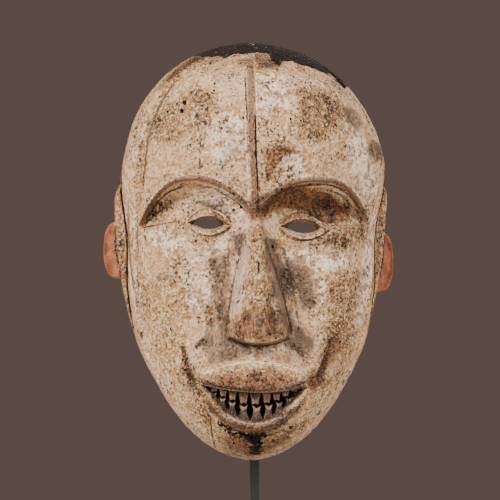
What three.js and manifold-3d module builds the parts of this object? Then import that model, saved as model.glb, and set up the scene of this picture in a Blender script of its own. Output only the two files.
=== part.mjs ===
// Carved wooden face mask, held up by a bar stand.
// Millimetres, +Z up. The origin is the middle of the stand's underside, and the mask looks along -Y.
// The carving is described in the mask's own sizes: across (to the right as the face is seen),
// height (above the tip of the chin) and depth (in front of the flat back).

import * as THREE from 'three';
import { LoftGeometry } from 'three/addons/geometries/LoftGeometry.js';
import { mergeVertices } from 'three/addons/utils/BufferGeometryUtils.js';
import Module from 'manifold-3d';

const wasm = await Module();
wasm.setup();

// Where the mask is held
const CHIN_LEVEL = 110;
const BACK_PLANE = 27;
const MASK_MIDDLE = -5;
const TOUCH_GAP = 0.3;

// Outline of the mask from the front
const MASK_HEIGHT = 280.8;
const WIDEST_LEVEL = 178;
const HALF_WIDTH = 90;
const UPPER_ROUNDNESS = 2.1;
const LOWER_ROUNDNESS = 2.0;
const LEAST_HALF_WIDTH = 5;

// Where the outline leaves the plain egg: drawn in beside the ears, fuller at the jaw, and leaning to the
// right above the eyes. Each is a level, a reach up and down, and a size.
const EDGE_PINCH = { level: 150, reach: 30, size: -5.5 };
const FULL_JAW = { level: 77, reach: 20, size: 1.9 };
const LEAN = { level: 205, reach: 28, size: 1.8 };

// Depth of the face along its middle, and where the side walls turn into the face
const MIDDLE_PROFILE = [
  [0, 56], [8, 75], [20, 88], [40, 95], [62, 96], [82, 93], [112, 91], [145, 93],
  [166, 98], [190, 106], [215, 110], [240, 106], [258, 93], [270, 75], [280.8, 46],
];
const WALL_PROFILE = [[0, 44], [60, 45], [120, 42], [180, 44], [240, 43], [280.8, 34]];
const SECTION_WIDENESS = 2.3;
const SECTION_FULLNESS = 0.52;
const WALL_KNEE = 0.5;

// Soft swellings and hollows of the face: across, height, reach across, reach up, depth
const FACE_FORMS = [
  { name: 'mouth', across: 0, height: 42, wide: 46, tall: 34, depth: 7 },
  { name: 'left of the nose', across: -30, height: 118, wide: 20, tall: 34, depth: -5 },
  { name: 'right of the nose', across: 30, height: 118, wide: 20, tall: 34, depth: -5 },
  { name: 'left cheekbone', across: -52, height: 128, wide: 26, tall: 20, depth: 3 },
  { name: 'right cheekbone', across: 52, height: 128, wide: 26, tall: 20, depth: 3 },
];
const FORM_FADE = 4;

// Brow arches: an inner end, a turning point and an outer end, as across and height, and how full each
// half is. Below them the eye sockets run down to a line of stations, which passes under the lids.
const BROWS = [
  { inner: [-2, 165], turn: [-40, 188.2], outer: [-75.5, 156], bends: [2, 3] },
  { inner: [1, 168], turn: [38, 187.3], outer: [76, 158], bends: [2.3, 3.4] },
];
const SOCKET_FLOORS = [
  [[-75.5, 154], [-58, 158.5], [-47, 157], [-31, 149.5], [-14, 152], [-2, 158]],
  [[1, 158], [16, 149], [32, 147], [47, 151], [55, 157], [76, 157]],
];
const BROW_HALF_WIDTH = 2.4;
const BROW_RISE = 2.4;
const SOCKET_DEPTH = 12;
const SOCKET_ROOF = 0.6;
const SOCKET_STEP = 0.13;
const SOCKET_DEEPEST = 0.62;
const SOCKET_CLEARING = 25;

// How raised and sunk bands are shaped across, and how deep raised forms are rooted in the face
const BAND_SHOULDER = 0.45;
const ROOT = -5;
const LIP_ROOT = -8;

// Eyes: middle of the lids, the size of the lids and of the slit
const EYES = [
  { across: -31, height: 158.5, lidWide: 30, lidTall: 15, slitWide: 21.5, slitTall: 7.6 },
  { across: 32, height: 156, lidWide: 33, lidTall: 16, slitWide: 23.5, slitTall: 8.2 },
];
const LID_RISE = 3.2;
const LID_TILT = -0.05;
const LID_LAYERS = [[ROOT, 1], [LID_RISE / 2, 1], [LID_RISE, 0.86]];
const SLIT_LAYERS = [[12, 1.45], [LID_RISE, 1.22], [-4, 1], [-45, 1.05]];
const ALMOND_FULLNESS = 0.85;
const ALMOND_POINTS = 7;

// Ridge down the middle of the forehead
const RIDGE_TOP = [-4.2, 269];
const RIDGE_FOOT = [-1.8, 160];
const RIDGE_HALF_WIDTH = 2.3;
const RIDGE_RISE = 2;

// Nose
const NOSE_TOP = 162;
const NOSE_FOOT = 85;
const NOSE_DROP = 4;
const NOSE_MIDDLE = [0, 1.8];
const NOSE_HALF_WIDTH = 20.8;
const NOSE_SPREAD = 0.6;
const NOSE_TOP_DEPTH = 101;
const NOSE_TIP_DEPTH = 120;
const NOSE_TUCK = 5;
const NOSE_RINGS = [0, 0.12, 0.3, 0.52, 0.75, 0.92, 1];
const NOSE_TOP_SHARE = 0.08;
const NOSE_PLANE = 0.24;
const NOSE_FLANK = { across: 0.88, depth: 0.6 };

// Mouth: the lens of the upper lip, the opening and the band of the lower lip. Each edge is an arc between
// two corners that swings to a middle height. The higher its power, the fuller it is.
const LIP_CORNERS = [[-41, 57], [35.5, 56.5]];
const OPENING_CORNERS = [[-35.5, 53.5], [32, 51.5]];
const LOWER_LIP_CORNERS = [[-37, 53], [34.8, 50.5]];
const LIP_TOP = { corners: LIP_CORNERS, middle: 67, power: 1.8 };
const LIP_SAG = { corners: LIP_CORNERS, middle: 48, power: 2 };
const OPENING_ROOF = { corners: OPENING_CORNERS, middle: 48, power: 2 };
const OPENING_FLOOR = { corners: OPENING_CORNERS, middle: 28.3, power: 2.1 };
const LOWER_LIP = { corners: LOWER_LIP_CORNERS, middle: 24.5, power: 2.1 };
const LIP_RISE = 7;
const LIP_MIDDLE = [-2.5, 58];
const LIP_LAYERS = [[LIP_ROOT, 1], [1, 1], [LIP_RISE * 0.7, 0.9], [LIP_RISE, 0.66]];
const OPENING_DEPTH = 14;
const OPENING_MIDDLE = [-1.5, 43];
const OPENING_LAYERS = [[-OPENING_DEPTH, 0.97], [30, 1]];
const LOWER_LIP_HALF_WIDTH = 3.6;
const LOWER_LIP_RISE = 5.5;

// Teeth: an upper row filed narrow at the tip and a lower row filed narrow at the waist, which nearly meet
const UPPER_TEETH = [-22, -15.5, -8.5, -1, 6.5, 13.5, 19.5];
const LOWER_TEETH = [-22, -15.5, -8.5, 0, 8.3, 15, 20.8];
const TOOTH_HALF_WIDTH = 3.7;
const TOOTH_SHRINK = 0.055;
const UPPER_TOOTH = [[-1, 0], [1, 0], [0.6, 1], [-0.6, 1]];
const LOWER_TOOTH = [[-1, 0], [1, 0], [0.52, 0.5], [0.72, 1], [-0.72, 1], [-0.52, 0.5]];
const TOOTH_FRONT = -2.5;
const TOOTH_ROOT = 2;
const TEETH_MEETING = 0.56;
const TEETH_GAP = 0.3;

// Groove that runs inside the edge of the face
const GROOVE_CUT = 2.2;
const GROOVE_CLEARING = 8;
const GROOVES = [
  { side: -1, headInset: 14.5, footInset: 3.5, halfWidth: 2.2 },
  { side: 1, headInset: 4, footInset: 3, halfWidth: 1.2 },
];
const GROOVE_TURN = [120, 215];
const GROOVE_FOOT = 40;
const GROOVE_HEAD = 262;

// Rough strip and ear at each side
const FLANGE_FOOT = 88;
const FLANGE_HEAD = 190;
const FLANGE_PROUD = 2.5;
const FLANGE_FRONT = 38;
const FLANGE_BACK = 8;
const FLANGE_ROOT = 5;
const FLANGE_TIP = { tall: 14, size: 3.5 };
const EARS = [
  { side: -1, height: 141, tall: 39, reach: 99.6 },
  { side: 1, height: 133, tall: 41, reach: 97.5 },
];
const EAR_FRONT = 34;
const EAR_THICKNESS = 14;
const EAR_ROOT = 78;
const EAR_FULLNESS = 0.28;

// Hollow back
const WALL = 9;
const FRONT_WALL = 13;
const EYE_BACKING = 0.7;
const MOUTH_BACKING = { across: -1, height: 40, wide: 46, tall: 32, depth: 15 };
const HOLLOW_SCALE = (HALF_WIDTH - WALL) / HALF_WIDTH;
const PAST_BACK = -10;

// Stand
const BASE_WIDTH = 120;
const BASE_LENGTH = 130;
const BASE_HEIGHT = 10;
const BASE_EDGE = 0.8;
const BAR = 6;
const REST_WIDTH = 50;
const REST_REACH = 23;
const REST_SEAT = 1.6;
const HOOK_LEVEL = 21.5;
const HOOK_REACH = 26;
const HOOK_TIP = 18;

const ROD_MIDDLE = BACK_PLANE + TOUCH_GAP + BAR / 2;

const clamp = THREE.MathUtils.clamp;
const smooth = (from, to, value) => THREE.MathUtils.smoothstep(value, from, to);
const mix = THREE.MathUtils.lerp;

// A smooth curve through a few stations, each a place and a value
function along(stations, place) {
  const last = stations.length - 2;
  const found = stations.findIndex(([next]) => next > place) - 1;
  const i = found < 0 ? (place < stations[0][0] ? 0 : last) : found;
  const slope = (a, b) => (stations[b][1] - stations[a][1]) / (stations[b][0] - stations[a][0]);
  const [startPlace, start] = stations[i];
  const [endPlace, end] = stations[i + 1];
  const span = endPlace - startPlace;
  const t = clamp((place - startPlace) / span, 0, 1);
  const slopeIn = span * (i > 0 ? slope(i - 1, i + 1) : slope(i, i + 1));
  const slopeOut = span * (i < last ? slope(i, i + 2) : slope(i, i + 1));
  const bend = t * t * (3 - 2 * t);
  return mix(start, end, bend) + slopeIn * t * (1 - t) ** 2 - slopeOut * t * t * (1 - t);
}

// Half the width of the plain egg shape at a height
function eggHalfWidth(height) {
  const upper = height > WIDEST_LEVEL;
  const power = upper ? UPPER_ROUNDNESS : LOWER_ROUNDNESS;
  const reach = upper
    ? (height - WIDEST_LEVEL) / (MASK_HEIGHT - WIDEST_LEVEL)
    : (WIDEST_LEVEL - height) / WIDEST_LEVEL;
  return HALF_WIDTH * (1 - clamp(reach, 0, 1) ** power) ** (1 / power);
}

const bump = ({ level, reach, size }, height) => size * Math.exp(-(((height - level) / reach) ** 2));

const lean = (height) => bump(LEAN, height);

const faceHalfWidth = (height) =>
  Math.max(eggHalfWidth(height) + bump(EDGE_PINCH, height) + bump(FULL_JAW, height), LEAST_HALF_WIDTH);

// Place across of the face's edge at a height, drawn in by an inset
const edgeAt = (side, height, inset) => lean(height) + side * (faceHalfWidth(height) - inset);

function swelling(form, across, height) {
  const x = (across - form.across) / form.wide;
  const y = (height - form.height) / form.tall;
  return form.depth * Math.exp(-(x * x + y * y));
}

// Depth of the head without its eye sockets
function headDepth(across, height) {
  const share = clamp(Math.abs(across - lean(height)) / faceHalfWidth(height), 0, 1);
  const middle = along(MIDDLE_PROFILE, height);
  const wall = along(WALL_PROFILE, height);
  const round = (1 - share ** SECTION_WIDENESS) ** SECTION_FULLNESS;
  const swell = FACE_FORMS.reduce((sum, form) => sum + swelling(form, across, height), 0);
  return wall + (middle - wall) * round + swell * (1 - share ** FORM_FADE);
}

// Height of an arch at a place across, and how far along it that is from its turning point to its end
function archAt(arch, across) {
  const towardsInner = Math.abs(across) < Math.abs(arch.turn[0]);
  const end = towardsInner ? arch.inner : arch.outer;
  const bend = arch.bends[towardsInner ? 0 : 1];
  const share = (across - arch.turn[0]) / (end[0] - arch.turn[0]);
  const height = mix(arch.turn[1], end[1], Math.abs(share) ** bend);
  return { share, height };
}

// How far the eye sockets lie below the head: deepest above the eye, with a step left under the brow
function socketDepth(across, height) {
  const side = across < 0 ? 0 : 1;
  const { share, height: top } = archAt(BROWS[side], across);
  const floor = along(SOCKET_FLOORS[side], across);
  const rise = (height - floor) / Math.max(top - floor, 0.5);
  if (share >= 1 || rise < 0 || rise > 1) {
    return 0;
  }
  const slope = 1 - (1 - SOCKET_STEP) * Math.max(1 - rise / SOCKET_DEEPEST, 0) ** 2;
  const roof = 1 - SOCKET_ROOF * smooth(SOCKET_DEEPEST, 1, rise);
  return SOCKET_DEPTH * slope * roof * (1 - share ** FORM_FADE);
}

const faceDepth = (across, height) => headDepth(across, height) - socketDepth(across, height);

// A point of the mask, in the part's frame
const place = (across, depth, height) =>
  new THREE.Vector3(MASK_MIDDLE + across, BACK_PLANE - depth, CHIN_LEVEL + height);

// A point that stands a little above the surface, square to it
function above(surface, across, height, rise) {
  const step = 0.5;
  const depth = surface(across, height);
  const slope = (surface(across + step, height) - surface(across - step, height)) / (2 * step);
  const tilt = (surface(across, height + step) - surface(across, height - step)) / (2 * step);
  const unit = rise / Math.hypot(slope, tilt, 1);
  return place(across - slope * unit, depth + unit, height - tilt * unit);
}

const steps = (count) => Array.from({ length: count + 1 }, (_, i) => i / count);

// A closed three.js geometry as a solid that can be joined and cut
function solid(geometry) {
  const bare = new THREE.BufferGeometry();
  bare.setAttribute('position', geometry.getAttribute('position'));
  bare.setIndex(geometry.index);
  const merged = mergeVertices(bare, 1e-4);
  const points = merged.attributes.position;
  const triangles = [];
  for (let i = 0; i < merged.index.count; i += 3) {
    const [a, b, c] = [0, 1, 2].map((k) => merged.index.getX(i + k));
    if (a !== b && b !== c && c !== a) {
      triangles.push(a, b, c);
    }
  }
  return new wasm.Manifold(new wasm.Mesh({
    numProp: 3,
    vertProperties: new Float32Array(points.array),
    triVerts: new Uint32Array(triangles),
  }));
}

function middleOf(ring) {
  const sum = ring.reduce((total, point) => total.add(point), new THREE.Vector3());
  return sum.divideScalar(ring.length);
}

// A solid skinned over closed sections, wound so that its faces point outwards
function loft(sections) {
  const [first, second] = sections;
  const centre = middleOf(first);
  const turn = first.reduce((sum, point, i) => {
    const next = first[(i + 1) % first.length];
    return sum.add(point.clone().sub(centre).cross(next.clone().sub(centre)));
  }, new THREE.Vector3());
  const ahead = middleOf(second).sub(centre).dot(turn) > 0;
  const rings = ahead ? sections : sections.map((ring) => [...ring].reverse());
  return solid(new LoftGeometry(rings, { capStart: true, capEnd: true }));
}

function geometryOf(manifold) {
  const mesh = manifold.getMesh();
  const geometry = new THREE.BufferGeometry();
  geometry.setAttribute('position', new THREE.BufferAttribute(mesh.vertProperties, 3));
  geometry.setIndex(new THREE.BufferAttribute(mesh.triVerts, 1));
  geometry.computeVertexNormals();
  return geometry;
}

// The egg-shaped block as level slices, each from the back of one wall over the face to the other.
// Scale and thickness turn the same slices into the hollow.
function headSolid(rows, columns, surface, scale, backDepth) {
  const sections = steps(rows).map((v) => {
    const crowded = (1 - Math.cos(Math.PI * v)) / 2;
    const level = MASK_HEIGHT * (v + crowded) / 2;
    const knee = along(WALL_PROFILE, level) * WALL_KNEE;
    const height = mix(MASK_HEIGHT / 2, level, scale);
    const face = steps(columns).map((t) => {
      const across = lean(level) + faceHalfWidth(level) * Math.sin((0.5 - t) * Math.PI);
      return place(across * scale, surface(across, level), height);
    });
    const right = edgeAt(1, level, 0) * scale;
    const left = edgeAt(-1, level, 0) * scale;
    const rightWall = [place(right, backDepth, height), place(right, knee, height)];
    const leftWall = [place(left, knee, height), place(left, backDepth, height)];
    return [...rightWall, ...face, ...leftWall];
  });
  return loft(sections);
}

// A raised or sunk band that follows a route over the face
function band(route, halfWidth, top, bottom, surface) {
  const shoulder = top * BAND_SHOULDER;
  const profile = [
    [-1, bottom], [1, bottom], [1, shoulder], [BAND_SHOULDER, top], [-BAND_SHOULDER, top], [-1, shoulder],
  ];
  const sections = route.map(([across, height], i) => {
    const before = route[Math.max(i - 1, 0)];
    const after = route[Math.min(i + 1, route.length - 1)];
    const aside = new THREE.Vector2(before[1] - after[1], after[0] - before[0]).normalize();
    return profile.map(([side, rise]) => {
      const x = across + aside.x * side * halfWidth;
      const y = height + aside.y * side * halfWidth;
      return above(surface, x, y, rise);
    });
  });
  return loft(sections);
}

// A flat-edged form over the face: its outline, drawn in towards its middle at each rise
function pad(outline, middle, layers, surface) {
  const sections = layers.map(([rise, scale]) => outline.map(([across, height]) => {
    const x = middle[0] + (across - middle[0]) * scale;
    const y = middle[1] + (height - middle[1]) * scale;
    return above(surface, x, y, rise);
  }));
  return loft(sections);
}

// An almond, from its left corner over the top to its right corner and back
function almond({ across, height }, wide, tall) {
  return Array.from({ length: 2 * ALMOND_POINTS }, (_, i) => {
    const side = i < ALMOND_POINTS ? 1 : -1;
    const t = (i % ALMOND_POINTS) / ALMOND_POINTS;
    const x = side * wide * (t - 0.5);
    const y = side * (tall / 2) * Math.sin(Math.PI * t) ** ALMOND_FULLNESS;
    return [across + x, height + y + x * LID_TILT];
  });
}

function browSolids() {
  return BROWS.map((brow) => {
    const route = steps(14).map((t) => {
      const across = mix(brow.inner[0], brow.outer[0], t);
      return [across, archAt(brow, across).height];
    });
    return band(route, BROW_HALF_WIDTH, BROW_RISE, ROOT, headDepth);
  });
}

// What is cut away for an eye socket: rings from its inner to its outer end
function socketSolid(side) {
  const brow = BROWS[side];
  const ends = 0.02;
  const hair = 0.001;
  const sections = steps(14).map((t) => {
    const across = mix(brow.inner[0], brow.outer[0], mix(ends, 1 - ends, t));
    const top = archAt(brow, across).height - hair;
    const floor = along(SOCKET_FLOORS[side], across) + hair;
    const hollow = steps(7).map((v) => {
      const height = mix(floor, top, v);
      return place(across, faceDepth(across, height), height);
    });
    const outside = headDepth(across, top) + SOCKET_CLEARING;
    return [...hollow, place(across, outside, top), place(across, outside, floor)];
  });
  return loft(sections);
}

function ridgeSolid() {
  const route = steps(12).map((t) => [0, 1].map((k) => mix(RIDGE_FOOT[k], RIDGE_TOP[k], t)));
  return band(route, RIDGE_HALF_WIDTH, RIDGE_RISE, ROOT, headDepth);
}

function lidSolid(eye) {
  return pad(almond(eye, eye.lidWide, eye.lidTall), [eye.across, eye.height], LID_LAYERS, faceDepth);
}

function slitSolid(eye) {
  const outline = almond(eye, eye.slitWide, eye.slitTall);
  const level = faceDepth(eye.across, eye.height);
  return pad(outline, [eye.across, eye.height], SLIT_LAYERS, () => level);
}

function noseSolid() {
  const rings = NOSE_RINGS.map((t) => {
    const height = mix(NOSE_TOP, NOSE_FOOT, t);
    const half = NOSE_HALF_WIDTH * mix(NOSE_TOP_SHARE, 1, t ** NOSE_SPREAD);
    const middle = mix(NOSE_MIDDLE[0], NOSE_MIDDLE[1], t);
    const foot = t === 1 ? 1 : 0;
    const front = mix(NOSE_TOP_DEPTH, NOSE_TIP_DEPTH, t) - foot * NOSE_TUCK;
    const back = faceDepth(middle + half, height) + ROOT;
    const flank = mix(back, front, NOSE_FLANK.depth);
    const low = height - foot * NOSE_DROP;
    return [
      place(middle - half, back, height),
      place(middle - half * NOSE_FLANK.across, flank, height),
      place(middle - half * NOSE_PLANE, front, low),
      place(middle + half * NOSE_PLANE, front, low),
      place(middle + half * NOSE_FLANK.across, flank, height),
      place(middle + half, back, height),
    ];
  });
  return loft(rings);
}

// Height of an arc at a share of the way between its corners
function arcHeight({ corners: [left, right], middle, power }, t) {
  const bow = middle - (left[1] + right[1]) / 2;
  return mix(left[1], right[1], t) + bow * (1 - Math.abs(2 * t - 1) ** power);
}

const arcPoints = (arc, count) =>
  steps(count).map((t) => [mix(arc.corners[0][0], arc.corners[1][0], t), arcHeight(arc, t)]);

const arcAbove = (arc, across) => {
  const [[left], [right]] = arc.corners;
  return arcHeight(arc, (across - left) / (right - left));
};

// The outline between a lower or upper edge and the one facing it, which share their corners
const between = (edge, facing, count) => [
  ...arcPoints(edge, count),
  ...arcPoints(facing, count).reverse().slice(1, -1),
];

const upperLipSolid = () => pad(between(LIP_TOP, LIP_SAG, 12), LIP_MIDDLE, LIP_LAYERS, faceDepth);

const openingSolid = () =>
  pad(between(OPENING_FLOOR, OPENING_ROOF, 14), OPENING_MIDDLE, OPENING_LAYERS, faceDepth);

const lowerLipSolid = () =>
  band(arcPoints(LOWER_LIP, 18), LOWER_LIP_HALF_WIDTH, LOWER_LIP_RISE, ROOT, faceDepth);

// One tooth: its outline runs from its root to its tip
function toothSolid(shape, across, root, tip) {
  const half = TOOTH_HALF_WIDTH - TOOTH_SHRINK * Math.abs(across);
  const level = faceDepth(across, (root + tip) / 2);
  const outline = shape.map(([x, t]) => [across + x * half, mix(root, tip, t)]);
  return slab(outline, level - OPENING_DEPTH - TOOTH_ROOT, level + TOOTH_FRONT);
}

function teethSolids() {
  const row = (shape, places, isUpper) => places.map((across) => {
    const roof = arcAbove(OPENING_ROOF, across) + TOOTH_ROOT;
    const floor = arcAbove(OPENING_FLOOR, across) - TOOTH_ROOT;
    const meeting = mix(floor, roof, TEETH_MEETING) + (isUpper ? TEETH_GAP : -TEETH_GAP);
    return toothSolid(shape, across, isUpper ? roof : floor, meeting);
  });
  return [...row(UPPER_TOOTH, UPPER_TEETH, true), ...row(LOWER_TOOTH, LOWER_TEETH, false)];
}

function grooveSolid({ side, headInset, footInset, halfWidth }) {
  const route = steps(22).map((t) => {
    const height = mix(GROOVE_FOOT, GROOVE_HEAD, t);
    const inset = mix(footInset, headInset, smooth(...GROOVE_TURN, height));
    return [edgeAt(side, height, inset), height];
  });
  return band(route, halfWidth, GROOVE_CLEARING, -GROOVE_CUT, headDepth);
}

// A shape in the plane of the face, given thickness from one depth to another
function slab(outline, back, front) {
  const sections = [back, front].map((depth) => outline.map(([x, y]) => place(x, depth, y)));
  return loft(sections);
}

function flangeSolid(side) {
  const levels = steps(12).map((t) => mix(FLANGE_FOOT, FLANGE_HEAD, t));
  const outer = levels.map((height) => {
    const tip = FLANGE_TIP.size * smooth(FLANGE_HEAD - FLANGE_TIP.tall, FLANGE_HEAD, height);
    return [lean(height) + side * (eggHalfWidth(height) + FLANGE_PROUD - tip), height];
  });
  const inner = levels.map((height) => [edgeAt(side, height, FLANGE_ROOT), height]).reverse();
  return slab([...outer, ...inner], FLANGE_BACK, FLANGE_FRONT);
}

function earSolid(ear) {
  const lobe = steps(12).map((t) => {
    const angle = Math.PI * (t - 0.5);
    const reach = mix(EAR_ROOT, ear.reach, Math.cos(angle) ** EAR_FULLNESS);
    return [ear.side * reach, ear.height + (ear.tall / 2) * Math.sin(angle)];
  });
  return slab(lobe, EAR_FRONT - EAR_THICKNESS, EAR_FRONT);
}

function hollowSolid() {
  const surface = (across, height) => {
    const backing = swelling(MOUTH_BACKING, across, height) + EYE_BACKING * socketDepth(across, height);
    return headDepth(across, height) - FRONT_WALL - backing;
  };
  return headSolid(20, 20, surface, HOLLOW_SCALE, PAST_BACK);
}

// Height of the hollow's roof at a place across
function hollowRoof(across) {
  const share = Math.abs(across) / (HALF_WIDTH * HOLLOW_SCALE);
  const rise = (1 - share ** UPPER_ROUNDNESS) ** (1 / UPPER_ROUNDNESS);
  const level = mix(WIDEST_LEVEL, MASK_HEIGHT, rise);
  return mix(MASK_HEIGHT / 2, level, HOLLOW_SCALE);
}

function maskSolid() {
  let body = headSolid(44, 34, headDepth, 1, 0);
  [0, 1].map(socketSolid).forEach((piece) => { body = body.subtract(piece); });
  const raised = [
    ...browSolids(), ridgeSolid(), ...EYES.map(lidSolid), noseSolid(), upperLipSolid(), lowerLipSolid(),
    flangeSolid(-1), flangeSolid(1), ...EARS.map(earSolid),
  ];
  const cut = [...GROOVES.map(grooveSolid), openingSolid()];
  raised.forEach((piece) => { body = body.add(piece); });
  cut.forEach((piece) => { body = body.subtract(piece); });
  teethSolids().forEach((piece) => { body = body.add(piece); });
  body = body.subtract(hollowSolid());
  EYES.map(slitSolid).forEach((piece) => { body = body.subtract(piece); });
  return body;
}

function material(color, roughness, metalness) {
  return new THREE.MeshStandardMaterial({ color, roughness, metalness });
}

const wood = material(0xcdb08a, 0.8, 0);
const blackSteel = material(0x1a1a1b, 0.5, 0.6);

function named(name, geometry, surface, [x, y, z] = [0, 0, 0]) {
  const mesh = new THREE.Mesh(geometry, surface);
  mesh.name = name;
  mesh.position.set(x, y, z);
  return mesh;
}

function bar(width, length, height) {
  return new THREE.BoxGeometry(width, length, height);
}

// The foot: a plate with its upper edges broken
function basePlate() {
  const flat = (inset, z) => {
    const [x, y] = [BASE_WIDTH / 2 - inset, BASE_LENGTH / 2 - inset];
    return [[-x, -y], [x, -y], [x, y], [-x, y]].map(([a, b]) => new THREE.Vector3(a, b, z));
  };
  const sections = [flat(0, 0), flat(0, BASE_HEIGHT - BASE_EDGE), flat(BASE_EDGE, BASE_HEIGHT)];
  return geometryOf(loft(sections));
}

// The bar under the hollow crown, with a crosspiece that the crown rests on
function crownRest() {
  const arm = solid(bar(BAR, REST_REACH, BAR).translate(0, -REST_REACH / 2, 0));
  const crosspiece = solid(bar(REST_WIDTH, BAR, BAR).translate(MASK_MIDDLE, BAR / 2 - REST_REACH, 0));
  return geometryOf(arm.add(crosspiece));
}

// The short bar inside the chin, with its end turned up behind the lower lip
function chinHook() {
  const arm = solid(bar(BAR, HOOK_REACH, BAR).translate(0, -HOOK_REACH / 2, 0));
  const tip = solid(bar(BAR, BAR, HOOK_TIP).translate(0, BAR / 2 - HOOK_REACH, (HOOK_TIP - BAR) / 2));
  return geometryOf(arm.add(tip));
}

const rodFoot = BASE_HEIGHT + TOUCH_GAP;
const restLevel = CHIN_LEVEL + hollowRoof(REST_WIDTH / 2) - REST_SEAT - BAR / 2;
const rodTop = restLevel + BAR / 2;
const rodMiddleLevel = (rodTop + rodFoot) / 2;
const armStart = ROD_MIDDLE - BAR / 2 - TOUCH_GAP;

const object = new THREE.Group();
object.add(
  named('mask', geometryOf(maskSolid()), wood),
  named('stand_base', basePlate(), blackSteel),
  named('stand_rod', bar(BAR, BAR, rodTop - rodFoot), blackSteel, [0, ROD_MIDDLE, rodMiddleLevel]),
  named('stand_crown_rest', crownRest(), blackSteel, [0, armStart, restLevel]),
  named('stand_chin_hook', chinHook(), blackSteel, [0, armStart, CHIN_LEVEL + HOOK_LEVEL]),
);

export default object;
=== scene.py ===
# Carved wooden face mask on its bar stand: the carving in full and the finish of every surface.
# The carving is described in the mask's own sizes, in millimetres: across (to the right as the face
# is seen), height (above the tip of the chin) and depth (in front of the flat back).

import math
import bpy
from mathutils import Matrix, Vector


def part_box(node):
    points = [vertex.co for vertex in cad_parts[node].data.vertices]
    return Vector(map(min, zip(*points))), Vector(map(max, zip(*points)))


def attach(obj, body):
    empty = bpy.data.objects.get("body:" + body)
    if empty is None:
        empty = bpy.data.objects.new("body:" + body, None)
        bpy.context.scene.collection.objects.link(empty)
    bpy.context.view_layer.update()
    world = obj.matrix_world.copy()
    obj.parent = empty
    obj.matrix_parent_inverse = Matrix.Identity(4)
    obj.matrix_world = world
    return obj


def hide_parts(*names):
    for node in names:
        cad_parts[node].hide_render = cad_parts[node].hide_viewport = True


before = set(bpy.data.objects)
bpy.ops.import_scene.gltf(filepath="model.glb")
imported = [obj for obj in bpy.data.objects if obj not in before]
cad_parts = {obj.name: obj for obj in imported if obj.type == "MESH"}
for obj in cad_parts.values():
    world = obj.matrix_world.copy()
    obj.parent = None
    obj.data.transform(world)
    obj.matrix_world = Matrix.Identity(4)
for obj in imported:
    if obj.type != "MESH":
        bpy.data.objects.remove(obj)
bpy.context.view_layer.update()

from types import SimpleNamespace

import bmesh
import bpy
import numpy as np
from mathutils import Vector, noise

MM = 0.001
SEED = 31
# A place beyond the ends of a profile, and a distance beyond all reach
PAST_ENDS = 8
FAR = 1000

# Where the mask is held: its lowest level and its flat back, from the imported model, and its middle
MASK_LOW, MASK_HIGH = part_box("mask")
CHIN_LEVEL = MASK_LOW.z / MM
BACK_PLANE = MASK_HIGH.y / MM
MASK_MIDDLE = -5

# Outline of the mask from the front
MASK_HEIGHT = 280.8
WIDEST_LEVEL = 178
HALF_WIDTH = 90
UPPER_ROUNDNESS = 2.1
LOWER_ROUNDNESS = 2.0
LEAST_HALF_WIDTH = 5

# Where the outline leaves the plain egg: a level, a reach up and down, and a size
EDGE_PINCH = (150, 30, -5.5)
FULL_JAW = (77, 20, 1.9)
LEAN = (205, 28, 1.8)

# Depth of the face along its middle, and where the side walls turn into the face
MIDDLE_PROFILE = [
    (0, 56), (8, 75), (20, 88), (40, 95), (62, 96), (82, 93), (112, 91), (145, 93),
    (166, 98), (190, 106), (215, 110), (240, 106), (258, 93), (270, 75), (280.8, 46),
]
WALL_PROFILE = [(0, 44), (60, 45), (120, 42), (180, 44), (240, 43), (280.8, 34)]
SECTION_WIDENESS = 2.3
SECTION_FULLNESS = 0.52

# Soft swellings and hollows of the face: across, height, reach across, reach up, depth
FACE_FORMS = [
    (0, 42, 46, 34, 7),
    (-30, 118, 20, 34, -5),
    (30, 118, 20, 34, -5),
    (-52, 128, 26, 20, 3),
    (52, 128, 26, 20, 3),
]
FORM_FADE = 4

# Brow arches: an inner end, a turning point, an outer end, and how full each half is
LEFT_BROW = ((-2, 165), (-40, 188.2), (-75.5, 156), (2, 3))
RIGHT_BROW = ((1, 168), (38, 187.3), (76, 158), (2.3, 3.4))
BROW_HALF_WIDTH = 2.7
BROW_RISE = 2.4
BROW_NOTCHES = 46
BROW_NOTCH_DEPTH = 0.8
BROW_NOTCH_SPAN = (0.08, 0.14, 0.4, 0.46)

# Eye sockets run down to these lines, which pass under the lids
LEFT_SOCKET_FLOOR = [(-75.5, 154), (-58, 158.5), (-47, 157), (-31, 149.5), (-14, 152), (-2, 158)]
RIGHT_SOCKET_FLOOR = [(1, 158), (16, 149), (32, 147), (47, 151), (55, 157), (76, 157)]
SOCKET_DEPTH = 12
SOCKET_ROOF = 0.6
SOCKET_STEP = 0.13
SOCKET_DEEPEST = 0.62
SOCKET_EDGE = 1.6

# Eyes: middle of the lids, width and height of the lids and of the slit
LEFT_EYE = {"middle": (-31, 158.5), "lid": (30, 15), "slit": (21.5, 7.6)}
RIGHT_EYE = {"middle": (32, 156), "lid": (33, 16), "slit": (23.5, 8.2)}
LID_RISE = 3.2
LID_EDGE = (-0.6, 1.5)
LID_RIM = 0.7
LID_RIM_PLACE = 0.9
LID_TILT = -0.05
ALMOND_FULLNESS = 0.85
# The slits are cut in rings, each with a rise over the middle of the eye and a scale of the slit
SLIT_CUT = [(12, 1.6), (LID_RISE, 1.29), (1.2, 1.2), (-1.5, 1.05), (-6, 0.92), (-14, 0.88), (-45, 0.95)]

# Ridge down the middle of the forehead
RIDGE = [(-1.8, 160), (-2.2, 183), (-3.9, 206), (-4.3, 240), (-4.2, 269)]
RIDGE_HALF_WIDTH = 2.5
RIDGE_RISE = 1.9

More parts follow.
